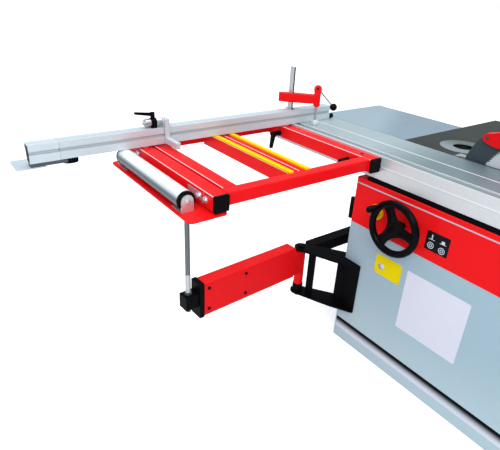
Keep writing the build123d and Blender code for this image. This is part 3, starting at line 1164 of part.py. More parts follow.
# Swing arm: box beam on a pivot sleeve, with the screws of its guide pads
arm_plane = Plane(origin=(PIVOT_X, PIVOT_Y, 0),
                  x_dir=(cos(radians(ARM_HEADING)), sin(radians(ARM_HEADING)), 0), z_dir=(0, 0, 1))
ARM_HEIGHT = ARM_TOP - ARM_BOTTOM
SCREW_AT = (325.0, 498.0)
SCREW_INSET = 25.0
SCREW_R = 6.0
SCREW_OUT = 3.0
with BuildPart() as swing_arm:
    with BuildSketch(arm_plane.offset(ARM_BOTTOM)):
        with Locations(((ARM_START + ARM_END) / 2, 0)):
            Rectangle(ARM_END - ARM_START, ARM_WIDTH)
    extrude(amount=ARM_HEIGHT)
    with BuildSketch(arm_plane.offset(ARM_BOTTOM)):
        with Locations((ARM_START / 2, 0)):
            Rectangle(ARM_START, 2 * SLEEVE_R)
    extrude(amount=SLEEVE_TOP - ARM_BOTTOM)
    with BuildSketch(arm_plane.offset(SLEEVE_BOTTOM)):
        Circle(SLEEVE_R)
    extrude(amount=SLEEVE_TOP - SLEEVE_BOTTOM)
    with BuildSketch(arm_plane.offset(ARM_BOTTOM + ARM_WALL)):
        with Locations(((ARM_START + ARM_END) / 2 + ARM_WALL, 0)):
            Rectangle(ARM_END - ARM_START, ARM_WIDTH - 2 * ARM_WALL)
    extrude(amount=ARM_HEIGHT - 2 * ARM_WALL, mode=Mode.SUBTRACT)
    rod_z(PIVOT_X, PIVOT_Y, SLEEVE_BOTTOM, SLEEVE_TOP, PIN_R + RUN, mode=Mode.SUBTRACT)
    for at in SCREW_AT:
        for z in (ARM_BOTTOM + SCREW_INSET, ARM_TOP - SCREW_INSET):
            spot = arm_plane.from_local_coords((at, ARM_WIDTH / 2, z))
            with BuildSketch(Plane(origin=spot, x_dir=arm_plane.x_dir, z_dir=arm_plane.y_dir)):
                Circle(SCREW_R)
            extrude(amount=SCREW_OUT)
save(swing_arm.part, "swing_arm")

with BuildPart() as arm_end_frame:
    with BuildSketch(arm_plane.offset(ARM_BOTTOM - END_FRAME_OVER)):
        with Locations((ARM_END + END_FRAME_T / 2, 0)):
            Rectangle(END_FRAME_T, ARM_WIDTH + 2 * END_FRAME_OVER)
    extrude(amount=ARM_HEIGHT + 2 * END_FRAME_OVER)
    with BuildSketch(arm_plane.offset(INNER_Z - SLIDE_PLAY)):
        with Locations((ARM_END + END_FRAME_T / 2, 0)):
            Rectangle(END_FRAME_T, INNER_WIDTH + 2 * SLIDE_PLAY)
    extrude(amount=INNER_HEIGHT + 2 * SLIDE_PLAY, mode=Mode.SUBTRACT)
save(arm_end_frame.part, "arm_end_frame")

# Inner beam: slides out of the arm and ends in the block that holds the support rod
BLOCK_GAP = 1.0
BLOCK_START = ARM_END + END_FRAME_T + BLOCK_GAP
with BuildPart() as inner_beam:
    with BuildSketch(arm_plane.offset(INNER_Z)):
        with Locations(((INNER_START + BLOCK_START) / 2, 0)):
            Rectangle(BLOCK_START - INNER_START, INNER_WIDTH)
    extrude(amount=INNER_HEIGHT)
    with BuildSketch(arm_plane.offset(INNER_Z - BLOCK_OVER)):
        with Locations((BLOCK_START + BLOCK_LENGTH / 2, 0)):
            Rectangle(BLOCK_LENGTH, INNER_WIDTH + 2 * BLOCK_OVER)
    extrude(amount=INNER_HEIGHT + 2 * BLOCK_OVER)
    with BuildSketch(arm_plane.offset(INNER_Z - BLOCK_OVER)):
        with Locations((ROD_AT, 0)):
            Circle(ROD_R)
    extrude(amount=INNER_HEIGHT + 2 * BLOCK_OVER, mode=Mode.SUBTRACT)
save(inner_beam.part, "inner_beam")

ROD_LOW = INNER_Z - BLOCK_OVER - 2 * ROD_NUT_T
BLOCK_TOP = INNER_Z + INNER_HEIGHT + BLOCK_OVER
with BuildPart() as support_rod:
    with BuildSketch(arm_plane.offset(ROD_LOW)):
        with Locations((ROD_AT, 0)):
            Circle(ROD_R)
    extrude(amount=PLATE_TOP - PLATE_STEEL - ROD_GAP - ROD_LOW)
    for z in (INNER_Z - BLOCK_OVER - ROD_NUT_T, BLOCK_TOP):
        with BuildSketch(arm_plane.offset(z)):
            with Locations((ROD_AT, 0)):
                RegularPolygon(ROD_NUT_R, 6)
        extrude(amount=ROD_NUT_T)
save(support_rod.part, "support_rod")


def handwheel(plane, grip_pin):
    """Three-spoke handwheel on a face: plane lies on the face with its normal outwards.

    grip_pin is the angle of the crank pin on the rim, in degrees; the wheel and shaft are one piece.
    """
    axis = Axis(plane.origin, plane.z_dir)
    radial = Plane(origin=plane.origin, x_dir=plane.x_dir, z_dir=-plane.y_dir)
    with BuildPart() as wheel:
        with BuildSketch(radial):
            with Locations((WHEEL_R, WHEEL_STAND)):
                Circle(WHEEL_RIM_R)
        revolve(axis=axis)
        with BuildSketch(radial):
            with BuildLine():
                Polyline((0, -WHEEL_SHAFT_IN), (WHEEL_SHAFT_R, -WHEEL_SHAFT_IN),
                         (WHEEL_SHAFT_R, WHEEL_STAND / 3), (WHEEL_HUB_R, WHEEL_STAND / 3),
                         (WHEEL_HUB_R, WHEEL_STAND - WHEEL_RIM_R), (WHEEL_HUB_R * 0.7, WHEEL_STAND),
                         (0, WHEEL_STAND), close=True)
            make_face()
        revolve(axis=axis)
        with BuildSketch(plane.offset(WHEEL_STAND - 0.7 * WHEEL_RIM_R)):
            with PolarLocations(0, SPOKES, start_angle=grip_pin):
                spoke_end = WHEEL_R - SPOKE_SINK
                Polygon((0, -SPOKE_WIDTH * 0.7), (spoke_end, -SPOKE_WIDTH / 2), (spoke_end, SPOKE_WIDTH / 2),
                        (0, SPOKE_WIDTH * 0.7), align=None)
        extrude(amount=WHEEL_RIM_R)
        with BuildSketch(plane.offset(WHEEL_STAND + 0.5 * WHEEL_RIM_R)):
            with PolarLocations(WHEEL_R, 1, start_angle=grip_pin):
                Circle(GRIP_PIN_R)
        extrude(amount=0.5 * WHEEL_RIM_R + GRIP_LENGTH / 2 - PLAY)
    return wheel.part


def wheel_grip(plane, grip_pin, gap, run):
    """Grip on the crank pin of a handwheel, with a waisted outline; gap and run are its plays."""
    angle = radians(grip_pin)
    centre = plane.from_local_coords((WHEEL_R * cos(angle), WHEEL_R * sin(angle), 0))
    radial = Plane(origin=centre, x_dir=plane.x_dir, z_dir=-plane.y_dir)
    start = WHEEL_STAND + WHEEL_RIM_R + gap
    bore = GRIP_PIN_R + run
    with BuildPart() as grip:
        with BuildSketch(radial):
            with BuildLine():
                foot = Polyline((bore, start), (GRIP_R * 0.7, start))
                side = Spline(foot @ 1, (GRIP_R, start + GRIP_LENGTH * 0.55),
                              (GRIP_R * 0.75, start + GRIP_LENGTH))
                Polyline(side @ 1, (0, start + GRIP_LENGTH), (0, start + GRIP_LENGTH / 2),
                         (bore, start + GRIP_LENGTH / 2), (bore, start))
            make_face()
        revolve(axis=Axis(centre, plane.z_dir))
    return grip.part


left_face = Plane(origin=(LEFT, WHEEL_Y, WHEEL_Z), x_dir=(0, 1, 0), z_dir=(-1, 0, 0))
near_face = Plane(origin=(SAW_WHEEL_X, NEAR, SAW_WHEEL_Z), x_dir=(1, 0, 0), z_dir=(0, -1, 0))
LEFT_PIN = -45.0
NEAR_PIN = -45.0
GRIP_SEAT = 1.0       # the fixed grip is pressed on its pin
save(handwheel(left_face, LEFT_PIN), "spindle_handwheel")
save(wheel_grip(left_face, LEFT_PIN, PLAY, RUN), "spindle_wheel_grip")
fixed_grip = wheel_grip(near_face, NEAR_PIN, GRIP_SEAT, -GRIP_SEAT)
save(handwheel(near_face, NEAR_PIN) + fixed_grip, "saw_handwheel")

# Emergency stop beside the handwheel
with BuildPart() as estop_base:
    rod_x(LEFT - ESTOP_BASE_T, LEFT, ESTOP_Y, ESTOP_Z, ESTOP_BASE_R)
    rod_x(LEFT - ESTOP_BASE_T, LEFT, ESTOP_Y, ESTOP_Z, ESTOP_STEM_R + PLAY, mode=Mode.SUBTRACT)
save(estop_base.part, "estop_base")

HEAD_BACK = LEFT - ESTOP_BASE_T - ESTOP_TRAVEL - PLAY
with BuildPart() as estop_button:
    rod_x(HEAD_BACK, LEFT + 2 * ESTOP_BASE_T, ESTOP_Y, ESTOP_Z, ESTOP_STEM_R)
    with BuildSketch(Plane(origin=(HEAD_BACK, ESTOP_Y, ESTOP_Z), x_dir=(0, 1, 0), z_dir=(-1, 0, 0))):
        Circle(ESTOP_HEAD_R)
    extrude(amount=ESTOP_HEAD_T)
    fillet(estop_button.faces().sort_by(Axis.X)[0].edges(), ESTOP_HEAD_T / 2)
save(estop_button.part, "estop_button")

# Main switch: turning knob of the isolator on the operator's end
with BuildPart() as main_switch:
    with BuildSketch(Plane.XZ.offset(FAR + PLAY)):
        with Locations((SWITCH_X, SWITCH_Z)):
            Circle(SWITCH_R)
    extrude(amount=SWITCH_T)
    with BuildSketch(Plane.XZ.offset(FAR + PLAY + SWITCH_T)):
        with Locations((SWITCH_X, SWITCH_Z)):
            SlotOverall(1.8 * SWITCH_R, SWITCH_T, rotation=90)
    extrude(amount=SWITCH_T)
    with BuildSketch(Plane.XZ.offset(FAR + PLAY)):
        with Locations((SWITCH_X, SWITCH_Z)):
            Circle(GRIP_PIN_R)
    extrude(amount=-2 * SWITCH_T)
save(main_switch.part, "main_switch")

# Dust port and cable gland on the right wall
with BuildPart() as dust_port:
    rod_x(RIGHT, RIGHT + SHEET, DUST_Y, DUST_Z, 1.3 * DUST_R)
    rod_x(RIGHT, RIGHT + DUST_REACH, DUST_Y, DUST_Z, DUST_R)
    rod_x(RIGHT, RIGHT + DUST_REACH, DUST_Y, DUST_Z, DUST_R - DUST_WALL, mode=Mode.SUBTRACT)
save(dust_port.part, "dust_port")

GLAND_REACH = 26.0
with BuildPart() as cable_gland:
    rod_x(RIGHT - GLAND_R, RIGHT, GLAND_Y, GLAND_Z, GLAND_R)
    hex_x(RIGHT, RIGHT + GLAND_REACH / 2, GLAND_Y, GLAND_Z, 1.5 * GLAND_R)
    rod_x(RIGHT + GLAND_REACH / 2, RIGHT + GLAND_REACH, GLAND_Y, GLAND_Z, 1.1 * GLAND_R)
    rod_x(RIGHT - GLAND_R, RIGHT + GLAND_REACH, GLAND_Y, GLAND_Z, GLAND_R / 2, mode=Mode.SUBTRACT)
save(cable_gland.part, "cable_gland")

# Door hinge: fixed leaves with their pin on the far end
LEAF_T = 2.0
with BuildPart() as door_hinges:
    rod_z(HINGE_X, HINGE_Y, HINGE_Z, HINGE_Z + HINGE_LENGTH, HINGE_PIN_R)
    for end in (HINGE_Z, HINGE_Z + HINGE_LENGTH * 2 / 3):
        rod_z(HINGE_X, HINGE_Y, end, end + HINGE_LENGTH / 3, KNUCKLE_R)
        block(HINGE_X - KNUCKLE_R, HINGE_X - KNUCKLE_R + 2 * LEAF_T, FAR, HINGE_Y,
              end, end + HINGE_LENGTH / 3)
save(door_hinges.part, "door_hinges")

# Service door on the far end: folded panel with hinge knuckles and a pull
DOOR_GAP = 1.0
DOOR_EDGE = -DOOR_WIDTH / 2 - DOOR_LAP
PULL_LENGTH = 90.0
with BuildPart() as service_door:
    block(DOOR_EDGE, DOOR_WIDTH / 2 + DOOR_LAP, FAR + DOOR_GAP, FAR + DOOR_GAP + SHEET,
          DOOR_BOTTOM - DOOR_LAP, DOOR_TOP + DOOR_LAP)
    mid = HINGE_Z + HINGE_LENGTH / 2
    reach = HINGE_LENGTH / 6 - PLAY
    leaf_end = max(DOOR_EDGE, HINGE_X) + KNUCKLE_R + SHEET
    block(HINGE_X, leaf_end, FAR + DOOR_GAP, FAR + DOOR_GAP + SHEET, mid - reach, mid + reach)
    block(HINGE_X, HINGE_X + KNUCKLE_R, FAR + DOOR_GAP, HINGE_Y, mid - reach, mid + reach)
    rod_z(HINGE_X, HINGE_Y, mid - reach, mid + reach, KNUCKLE_R)
    rod_z(HINGE_X, HINGE_Y, mid - reach, mid + reach, HINGE_PIN_R + RUN, mode=Mode.SUBTRACT)
    pull_x = DOOR_WIDTH / 2 - 4 * DOOR_LAP
    pull_z = (DOOR_BOTTOM + DOOR_TOP) / 2
    block(pull_x - DOOR_LAP, pull_x + DOOR_LAP, FAR + DOOR_GAP, FAR + 6 * DOOR_LAP,
          pull_z - PULL_LENGTH / 2, pull_z + PULL_LENGTH / 2)
    block(pull_x - DOOR_LAP, pull_x + DOOR_LAP, FAR + DOOR_GAP + SHEET, FAR + 5 * DOOR_LAP,
          pull_z - PULL_LENGTH / 2 + DOOR_LAP, pull_z + PULL_LENGTH / 2 - DOOR_LAP, mode=Mode.SUBTRACT)
save(service_door.part, "service_door")

# Tilt carriage: arc shoes in the cradles, a bridge and the guide rods of the lift
SEAT_R = CRADLE_R - PLAY
SHOE_SPAN = SHOE_END - SHOE_START
with BuildPart() as tilt_carriage:
    for y in CRADLE_YS:
        with BuildSketch(cross(y + CRADLE_T / 2)):
            with BuildLine():
                outer = CenterArc((BLADE_X, TABLE_TOP), SEAT_R, SHOE_START, SHOE_SPAN)
                inner = CenterArc((BLADE_X, TABLE_TOP), SEAT_R - SHOE_WIDTH, SHOE_START, SHOE_SPAN)
                Line(outer @ 0, inner @ 0)
                Line(outer @ 1, inner @ 1)
            make_face()
        extrude(amount=CRADLE_T)
    with BuildSketch(cross(CRADLE_YS[1] + CRADLE_T / 2)):
        with Locations((BRIDGE_X, BRIDGE_Z)):
            Rectangle(BRIDGE, BRIDGE)
        with Locations((BLADE_X, TABLE_TOP)):
            Circle(SEAT_R, mode=Mode.INTERSECT)
    extrude(amount=CRADLE_YS[1] - CRADLE_YS[0] + CRADLE_T)
    for y in GUIDE_ROD_YS:
        rod_z(BRIDGE_X, y, BRIDGE_Z - BRIDGE / 2 - GUIDE_ROD_LENGTH, BRIDGE_Z, GUIDE_ROD_R)
save(tilt_carriage.part, "tilt_carriage")

# Saw lift slide: plate with guide bosses, arbor housing, motor standoffs and knife arm
GUIDE_BOSS_R = 20.0
GUIDE_BOSS_LENGTH = 80.0
BOSS_WEB = 25.0
BOSS_GAP = 5.0
BOSS_TOP = BRIDGE_Z - BRIDGE / 2 - BOSS_GAP
HOUSING_R = 32.0
HOUSING_GAP = 11.5
HOUSING_OVER = 4.0
HOUSING_LEFT = BLADE_X + BLADE_T / 2 + HOUSING_GAP
PILLAR_R = 8.0
PILLAR_CIRCLE = 70.0
MOTOR_PAD_R = 86.0
KNIFE_ARM_DY = 168.0
KNIFE_ARM_DROP = 38.0
KNIFE_ARM = 28.0
KNIFE_ARM_Y = ARBOR_Y + KNIFE_ARM_DY
KNIFE_ARM_Z = ARBOR_Z - KNIFE_ARM_DROP
PILLAR_TURNS = (70, 130, 230, 290)
BELT_ANGLE = degrees(atan2(ARBOR_Z - SAW_MOTOR_Z, ARBOR_Y - SAW_MOTOR_Y))
with BuildPart() as saw_lift_slide:
    with BuildSketch(Plane.YZ.offset(PLATE_X)):
        with Locations((SAW_MOTOR_Y, SAW_MOTOR_Z)):
            Circle(MOTOR_PAD_R)
        with Locations((ARBOR_Y, ARBOR_Z)):
            Circle(HOUSING_R + HOUSING_OVER)
        with Locations((KNIFE_ARM_Y + KNIFE_ARM / 2, KNIFE_ARM_Z + KNIFE_ARM / 2)):
            Rectangle(KNIFE_ARM, KNIFE_ARM)
        with Locations((GUIDE_ROD_YS[1], BOSS_TOP - GUIDE_BOSS_LENGTH)):
            Circle(GUIDE_BOSS_R)
        make_hull()
    extrude(amount=SLIDE_PLATE_T)
    for y in GUIDE_ROD_YS:
        rod_z(BRIDGE_X, y, BOSS_TOP - GUIDE_BOSS_LENGTH, BOSS_TOP, GUIDE_BOSS_R)
        block(PLATE_X, BRIDGE_X, y - GUIDE_BOSS_R / 2, y + GUIDE_BOSS_R / 2, BOSS_TOP - BOSS_WEB, BOSS_TOP)
        rod_z(BRIDGE_X, y, BOSS_TOP - GUIDE_BOSS_LENGTH, BOSS_TOP, GUIDE_ROD_R + RUN, mode=Mode.SUBTRACT)
    rod_x(HOUSING_LEFT, PLATE_X, ARBOR_Y, ARBOR_Z, HOUSING_R)
    block(BLADE_X + KNIFE_T / 2, PLATE_X, KNIFE_ARM_Y, KNIFE_ARM_Y + KNIFE_ARM,
          KNIFE_ARM_Z, KNIFE_ARM_Z + KNIFE_ARM)
    for turn in PILLAR_TURNS:
        angle = radians(BELT_ANGLE + turn)
        rod_x(PLATE_X, SAW_MOTOR_X, SAW_MOTOR_Y + PILLAR_CIRCLE * cos(angle),
              SAW_MOTOR_Z + PILLAR_CIRCLE * sin(angle), PILLAR_R)
    rod_x(HOUSING_LEFT, PLATE_X + SLIDE_PLATE_T, ARBOR_Y, ARBOR_Z, ARBOR_R + RUN, mode=Mode.SUBTRACT)
save(saw_lift_slide.part, "saw_lift_slide")


# Saw motor with its drive pulley
SHAFT_R = 10.0
MOTOR_FINS = 16
FIN_HEIGHT = 5.0
FIN_T = 5.0
MOTOR_FLANGE_OVER = 4.0


def motor_fins(radius):
    """Round motor barrel with cooling fins, as a face of the active sketch."""
    Circle(radius - FIN_HEIGHT)
    with PolarLocations(0, MOTOR_FINS):
        with Locations((radius - FIN_HEIGHT, 0)):
            Rectangle(2 * FIN_HEIGHT, FIN_T)


with BuildPart() as saw_motor:
    rod_x(SAW_MOTOR_X, SAW_MOTOR_X + SLIDE_PLATE_T, SAW_MOTOR_Y, SAW_MOTOR_Z,
          MOTOR_R + MOTOR_FLANGE_OVER)
    with BuildSketch(Plane.YZ.offset(SAW_MOTOR_X + SLIDE_PLATE_T)):
        with Locations((SAW_MOTOR_Y, SAW_MOTOR_Z)):
            motor_fins(MOTOR_R)
    extrude(amount=MOTOR_LENGTH - 4 * SLIDE_PLATE_T)
    rod_x(SAW_MOTOR_X + MOTOR_LENGTH - 3 * SLIDE_PLATE_T, SAW_MOTOR_X + MOTOR_LENGTH,
          SAW_MOTOR_Y, SAW_MOTOR_Z, MOTOR_R)
    rod_x(SAW_MOTOR_X, SAW_MOTOR_X + 4 * SHAFT_R, SAW_MOTOR_Y, SAW_MOTOR_Z, SHAFT_R + RUN,
          mode=Mode.SUBTRACT)
save(saw_motor.part, "saw_motor")

with BuildPart() as saw_motor_pulley:
    rod_x(BELT_X - PULLEY_WIDTH / 2, BELT_X + PULLEY_WIDTH / 2, SAW_MOTOR_Y, SAW_MOTOR_Z, SAW_PULLEY_R)
    rod_x(BELT_X, SAW_MOTOR_X + 3 * SHAFT_R, SAW_MOTOR_Y, SAW_MOTOR_Z, SHAFT_R)
save(saw_motor_pulley.part, "saw_motor_pulley")


def belt_loop(pulleys, over):
    """Filled loop round two pulleys, each (place, radius), outside them by over, in the active sketch."""
    for place, radius in pulleys:
        with Locations(place):
            Circle(radius + over)
    make_hull()


saw_pulleys = (((SAW_MOTOR_Y, SAW_MOTOR_Z), SAW_PULLEY_R), ((ARBOR_Y, ARBOR_Z), ARBOR_PULLEY_R))
with BuildPart() as saw_belt:
    with BuildSketch(Plane.YZ.offset(BELT_X - BELT_WIDTH / 2)):
        belt_loop(saw_pulleys, PLAY + BELT_T)
    extrude(amount=BELT_WIDTH)
    with BuildSketch(Plane.YZ.offset(BELT_X - BELT_WIDTH / 2)):
        belt_loop(saw_pulleys, PLAY)
    extrude(amount=BELT_WIDTH, mode=Mode.SUBTRACT)
save(saw_belt.part, "saw_belt")

# Saw arbor with flanges, nut and pulley, and the toothed blade on it
OUTER_FLANGE = 6.0
NUT_T = 8.4
NUT_R = 14.0
BORE_R = 12.0
BLADE_FACE = BLADE_T / 2
FLANGE_LEFT = BLADE_X - BLADE_FACE - OUTER_FLANGE
with BuildPart() as saw_arbor:
    rod_x(BLADE_X + BLADE_FACE, BELT_X + PULLEY_WIDTH / 2, ARBOR_Y, ARBOR_Z, ARBOR_R)
    rod_x(FLANGE_LEFT, BLADE_X + BLADE_FACE, ARBOR_Y, ARBOR_Z, BORE_R)
    rod_x(BLADE_X + BLADE_FACE, HOUSING_LEFT - PLAY, ARBOR_Y, ARBOR_Z, FLANGE_R)
    rod_x(FLANGE_LEFT, BLADE_X - BLADE_FACE, ARBOR_Y, ARBOR_Z, FLANGE_R)
    hex_x(FLANGE_LEFT - NUT_T, FLANGE_LEFT, ARBOR_Y, ARBOR_Z, NUT_R)
    rod_x(BELT_X - PULLEY_WIDTH / 2, BELT_X + PULLEY_WIDTH / 2, ARBOR_Y, ARBOR_Z, ARBOR_PULLEY_R)
save(saw_arbor.part, "saw_arbor")

TOOTH_SPAN = 360.0 / BLADE_TEETH
with BuildPart() as saw_blade:
    teeth = []
    for tooth in range(BLADE_TEETH):
        for turn, radius in ((0.0, BLADE_R), (0.35, BLADE_R - TOOTH_DEPTH / 4), (0.7, BLADE_R - TOOTH_DEPTH),
                             (0.95, BLADE_R - TOOTH_DEPTH)):
            angle = radians((tooth + turn) * TOOTH_SPAN)
            teeth.append((ARBOR_Y + radius * cos(angle), ARBOR_Z + radius * sin(angle)))
    with BuildSketch(Plane.YZ.offset(BLADE_X - BLADE_FACE)):
        with BuildLine():
            Polyline(*teeth, close=True)
        make_face()
        with Locations((ARBOR_Y, ARBOR_Z)):
            Circle(BORE_R + RUN, mode=Mode.SUBTRACT)
    extrude(amount=BLADE_T)
save(saw_blade.part, "saw_blade")

# Riving knife behind the blade, with the pin that carries the guard
KNIFE_IN = BLADE_R + KNIFE_GAP
KNIFE_OUT = KNIFE_IN + KNIFE_WIDTH
KNIFE_LOW = -11.0
KNIFE_HIGH = 39.0
PIN_ANGLE = 42.0
PIN_AT_R = 218.0
GUARD_PIN_Y = ARBOR_Y + PIN_AT_R * cos(radians(PIN_ANGLE))
GUARD_PIN_Z = ARBOR_Z + PIN_AT_R * sin(radians(PIN_ANGLE))
GUARD_HEAD_R = 6.0
GUARD_HEAD_T = 3.0
TAB_R = 17.0
EAR_R = 13.0
GUARD_SIDE = GUARD_WIDTH / 2 + PLAY
with BuildPart() as riving_knife:
    with BuildSketch(Plane.YZ.offset(BLADE_X - KNIFE_T / 2)):
        with BuildLine():
            outer = CenterArc((ARBOR_Y, ARBOR_Z), KNIFE_OUT, KNIFE_LOW, KNIFE_HIGH - KNIFE_LOW)
            inner = CenterArc((ARBOR_Y, ARBOR_Z), KNIFE_IN, KNIFE_LOW, KNIFE_HIGH - KNIFE_LOW)
            Line(outer @ 0, inner @ 0)
            Line(outer @ 1, inner @ 1)
        make_face()
        with Locations((GUARD_PIN_Y, GUARD_PIN_Z)):
            Circle(EAR_R)
    extrude(amount=KNIFE_T)
    rod_x(BLADE_X - GUARD_SIDE, BLADE_X + GUARD_SIDE, GUARD_PIN_Y, GUARD_PIN_Z, GUARD_PIN_R)
    for x in (BLADE_X - GUARD_SIDE - GUARD_HEAD_T, BLADE_X + GUARD_SIDE):
        rod_x(x, x + GUARD_HEAD_T, GUARD_PIN_Y, GUARD_PIN_Z, GUARD_HEAD_R)
save(riving_knife.part, "riving_knife")

# Saw guard: hood over the blade, hinged on the riving knife
HOOD_FRONT_DY = -166.0    # from the arbor to the hood's front
HOOD_CROWN_DY = 40.0
HOOD_DROP = 24.0          # of its lower edge under the pin
HOOD_HEIGHT = 160.0       # over the table
HOOD_NOSE = 80.0
HOOD_NOSE_R = 105.0
TAB_LENGTH = 27.0         # from the pin to the hood's rear wall
TAB_LAP = 2.0
TAB_RISE = 25.5
HOOD_FRONT = ARBOR_Y + HOOD_FRONT_DY
HOOD_LOW = GUARD_PIN_Z - HOOD_DROP
HOOD_TOP = TABLE_TOP + HOOD_HEIGHT
HOOD_REAR = GUARD_PIN_Y - TAB_LENGTH


def hood_outline(inset):
    """Side outline of the hood, drawn in from its edge by inset, as a face of the active sketch."""
    top = HOOD_TOP - inset
    rear = HOOD_REAR - inset
    with BuildLine() as outline:
        low = Line((rear, HOOD_LOW), (HOOD_FRONT + inset, HOOD_LOW))
        nose = RadiusArc(low @ 1, (HOOD_FRONT + HOOD_NOSE, top), HOOD_NOSE_R - inset)
        crown = Line(nose @ 1, (ARBOR_Y + HOOD_CROWN_DY, top))
        back = Line(crown @ 1, (rear, GUARD_PIN_Z + TAB_RISE - inset))
        Line(back @ 1, low @ 0)
    make_face(outline.edges())


with BuildPart() as saw_guard:
    with BuildSketch(Plane.YZ.offset(BLADE_X - GUARD_WIDTH / 2)):
        hood_outline(0)
        with BuildLine():
            Polyline((HOOD_REAR - TAB_LAP, HOOD_LOW), (HOOD_REAR - TAB_LAP, GUARD_PIN_Z + TAB_RISE),
                     (GUARD_PIN_Y, GUARD_PIN_Z + TAB_R), (GUARD_PIN_Y, GUARD_PIN_Z - TAB_R), close=True)
        make_face()
        with Locations((GUARD_PIN_Y, GUARD_PIN_Z)):
            Circle(TAB_R)
    extrude(amount=GUARD_WIDTH)
    with BuildSketch(Plane.YZ.offset(BLADE_X - GUARD_WIDTH / 2 + GUARD_WALL)):
        hood_outline(GUARD_WALL)
    extrude(amount=GUARD_WIDTH - 2 * GUARD_WALL, mode=Mode.SUBTRACT)
    slot_half = KNIFE_T / 2 + SLIDE_PLAY
    block(BLADE_X - slot_half, BLADE_X + slot_half, GUARD_PIN_Y - 2 * TAB_R, GUARD_PIN_Y + 2 * TAB_R,
          HOOD_LOW - TAB_R, GUARD_PIN_Z + TAB_R - GUARD_WALL, mode=Mode.SUBTRACT)
    rod_x(BLADE_X - GUARD_WIDTH / 2, BLADE_X + GUARD_WIDTH / 2, GUARD_PIN_Y, GUARD_PIN_Z,
          GUARD_PIN_R + RUN, mode=Mode.SUBTRACT)
save(saw_guard.part, "saw_guard")

# Quill: lifting housing of the moulder spindle with the plate that carries its motor
MOTOR_PLATE_T = 10.0
MOTOR_PLATE_OVER = 10.0
QUILL_OVER = 4.0
PULLEY_GAP = 5.0
MOTOR_GAP = 10.0
QUILL_PILLAR_R = 6.0
QUILL_PILLAR_TURNS = (20, 100, 260, 340)
PULLEY_TOP = QUILL_BOTTOM - PULLEY_GAP
PULLEY_BOTTOM = PULLEY_TOP - PULLEY_WIDTH
MOULDER_MOTOR_TOP = PULLEY_BOTTOM - MOTOR_GAP
MOULDER_ANGLE = degrees(atan2(MOULDER_DY, MOULDER_DX))
PILLAR_RING = 62.0
with BuildPart() as quill:
    rod_z(SPINDLE_X, SPINDLE_Y, QUILL_BOTTOM, QUILL_TOP, QUILL_R)
    with BuildSketch(Plane.XY.offset(QUILL_BOTTOM)):
        with Locations((SPINDLE_X, SPINDLE_Y)):
            Circle(QUILL_R + QUILL_OVER)
        with Locations((MOULDER_X, MOULDER_Y)):
            Circle(PILLAR_RING + MOTOR_PLATE_OVER)
        make_hull()
    extrude(amount=MOTOR_PLATE_T)
    for turn in QUILL_PILLAR_TURNS:
        angle = radians(MOULDER_ANGLE + turn)
        rod_z(MOULDER_X + PILLAR_RING * cos(angle), MOULDER_Y + PILLAR_RING * sin(angle),
              MOULDER_MOTOR_TOP, QUILL_BOTTOM, QUILL_PILLAR_R)
    rod_z(SPINDLE_X, SPINDLE_Y, QUILL_BOTTOM, QUILL_TOP, SPINDLE_SHANK_R + RUN, mode=Mode.SUBTRACT)
save(quill.part, "quill")

COLLAR_T = 6.0
COLLAR_OVER = 6.0
with BuildPart() as spindle:
    rod_z(SPINDLE_X, SPINDLE_Y, PULLEY_BOTTOM, QUILL_TOP + PLAY, SPINDLE_SHANK_R)
    rod_z(SPINDLE_X, SPINDLE_Y, QUILL_TOP + PLAY, QUILL_TOP + COLLAR_T,
          SPINDLE_SHANK_R + COLLAR_OVER)
    rod_z(SPINDLE_X, SPINDLE_Y, QUILL_TOP + COLLAR_T, SPINDLE_TOP, SPINDLE_R)
    rod_z(SPINDLE_X, SPINDLE_Y, PULLEY_BOTTOM, PULLEY_TOP, SPINDLE_PULLEY_R)
save(spindle.part, "spindle")

with BuildPart() as spindle_motor:
    with BuildSketch(Plane.XY.offset(MOULDER_MOTOR_TOP - MOULDER_MOTOR_LENGTH)):
        with Locations((MOULDER_X, MOULDER_Y)):
            motor_fins(MOULDER_MOTOR_R)
    extrude(amount=MOULDER_MOTOR_LENGTH)
    rod_z(MOULDER_X, MOULDER_Y, MOULDER_MOTOR_TOP - 4 * SHAFT_R, MOULDER_MOTOR_TOP, SHAFT_R + RUN,
          mode=Mode.SUBTRACT)
save(spindle_motor.part, "spindle_motor")

with BuildPart() as spindle_motor_pulley:
    rod_z(MOULDER_X, MOULDER_Y, PULLEY_BOTTOM, PULLEY_TOP, MOULDER_PULLEY_R)
    rod_z(MOULDER_X, MOULDER_Y, MOULDER_MOTOR_TOP - 3 * SHAFT_R, PULLEY_TOP, SHAFT_R)
save(spindle_motor_pulley.part, "spindle_motor_pulley")

moulder_pulleys = (((SPINDLE_X, SPINDLE_Y), SPINDLE_PULLEY_R), ((MOULDER_X, MOULDER_Y), MOULDER_PULLEY_R))
with BuildPart() as spindle_belt:
    belt_z = (PULLEY_BOTTOM + PULLEY_TOP - BELT_WIDTH) / 2
    with BuildSketch(Plane.XY.offset(belt_z)):
        belt_loop(moulder_pulleys, PLAY + BELT_T)
    extrude(amount=BELT_WIDTH)
    with BuildSketch(Plane.XY.offset(belt_z)):
        belt_loop(moulder_pulleys, PLAY)
    extrude(amount=BELT_WIDTH, mode=Mode.SUBTRACT)
save(spindle_belt.part, "spindle_belt")
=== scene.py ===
"""Finishes and fine pieces of the combination saw and spindle moulder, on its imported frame."""
import logging
import math
from dataclasses import dataclass, field
from enum import Enum
from typing import Iterable, Mapping, Sequence

import bmesh
import bpy
import numpy as np
from mathutils import Matrix, Vector


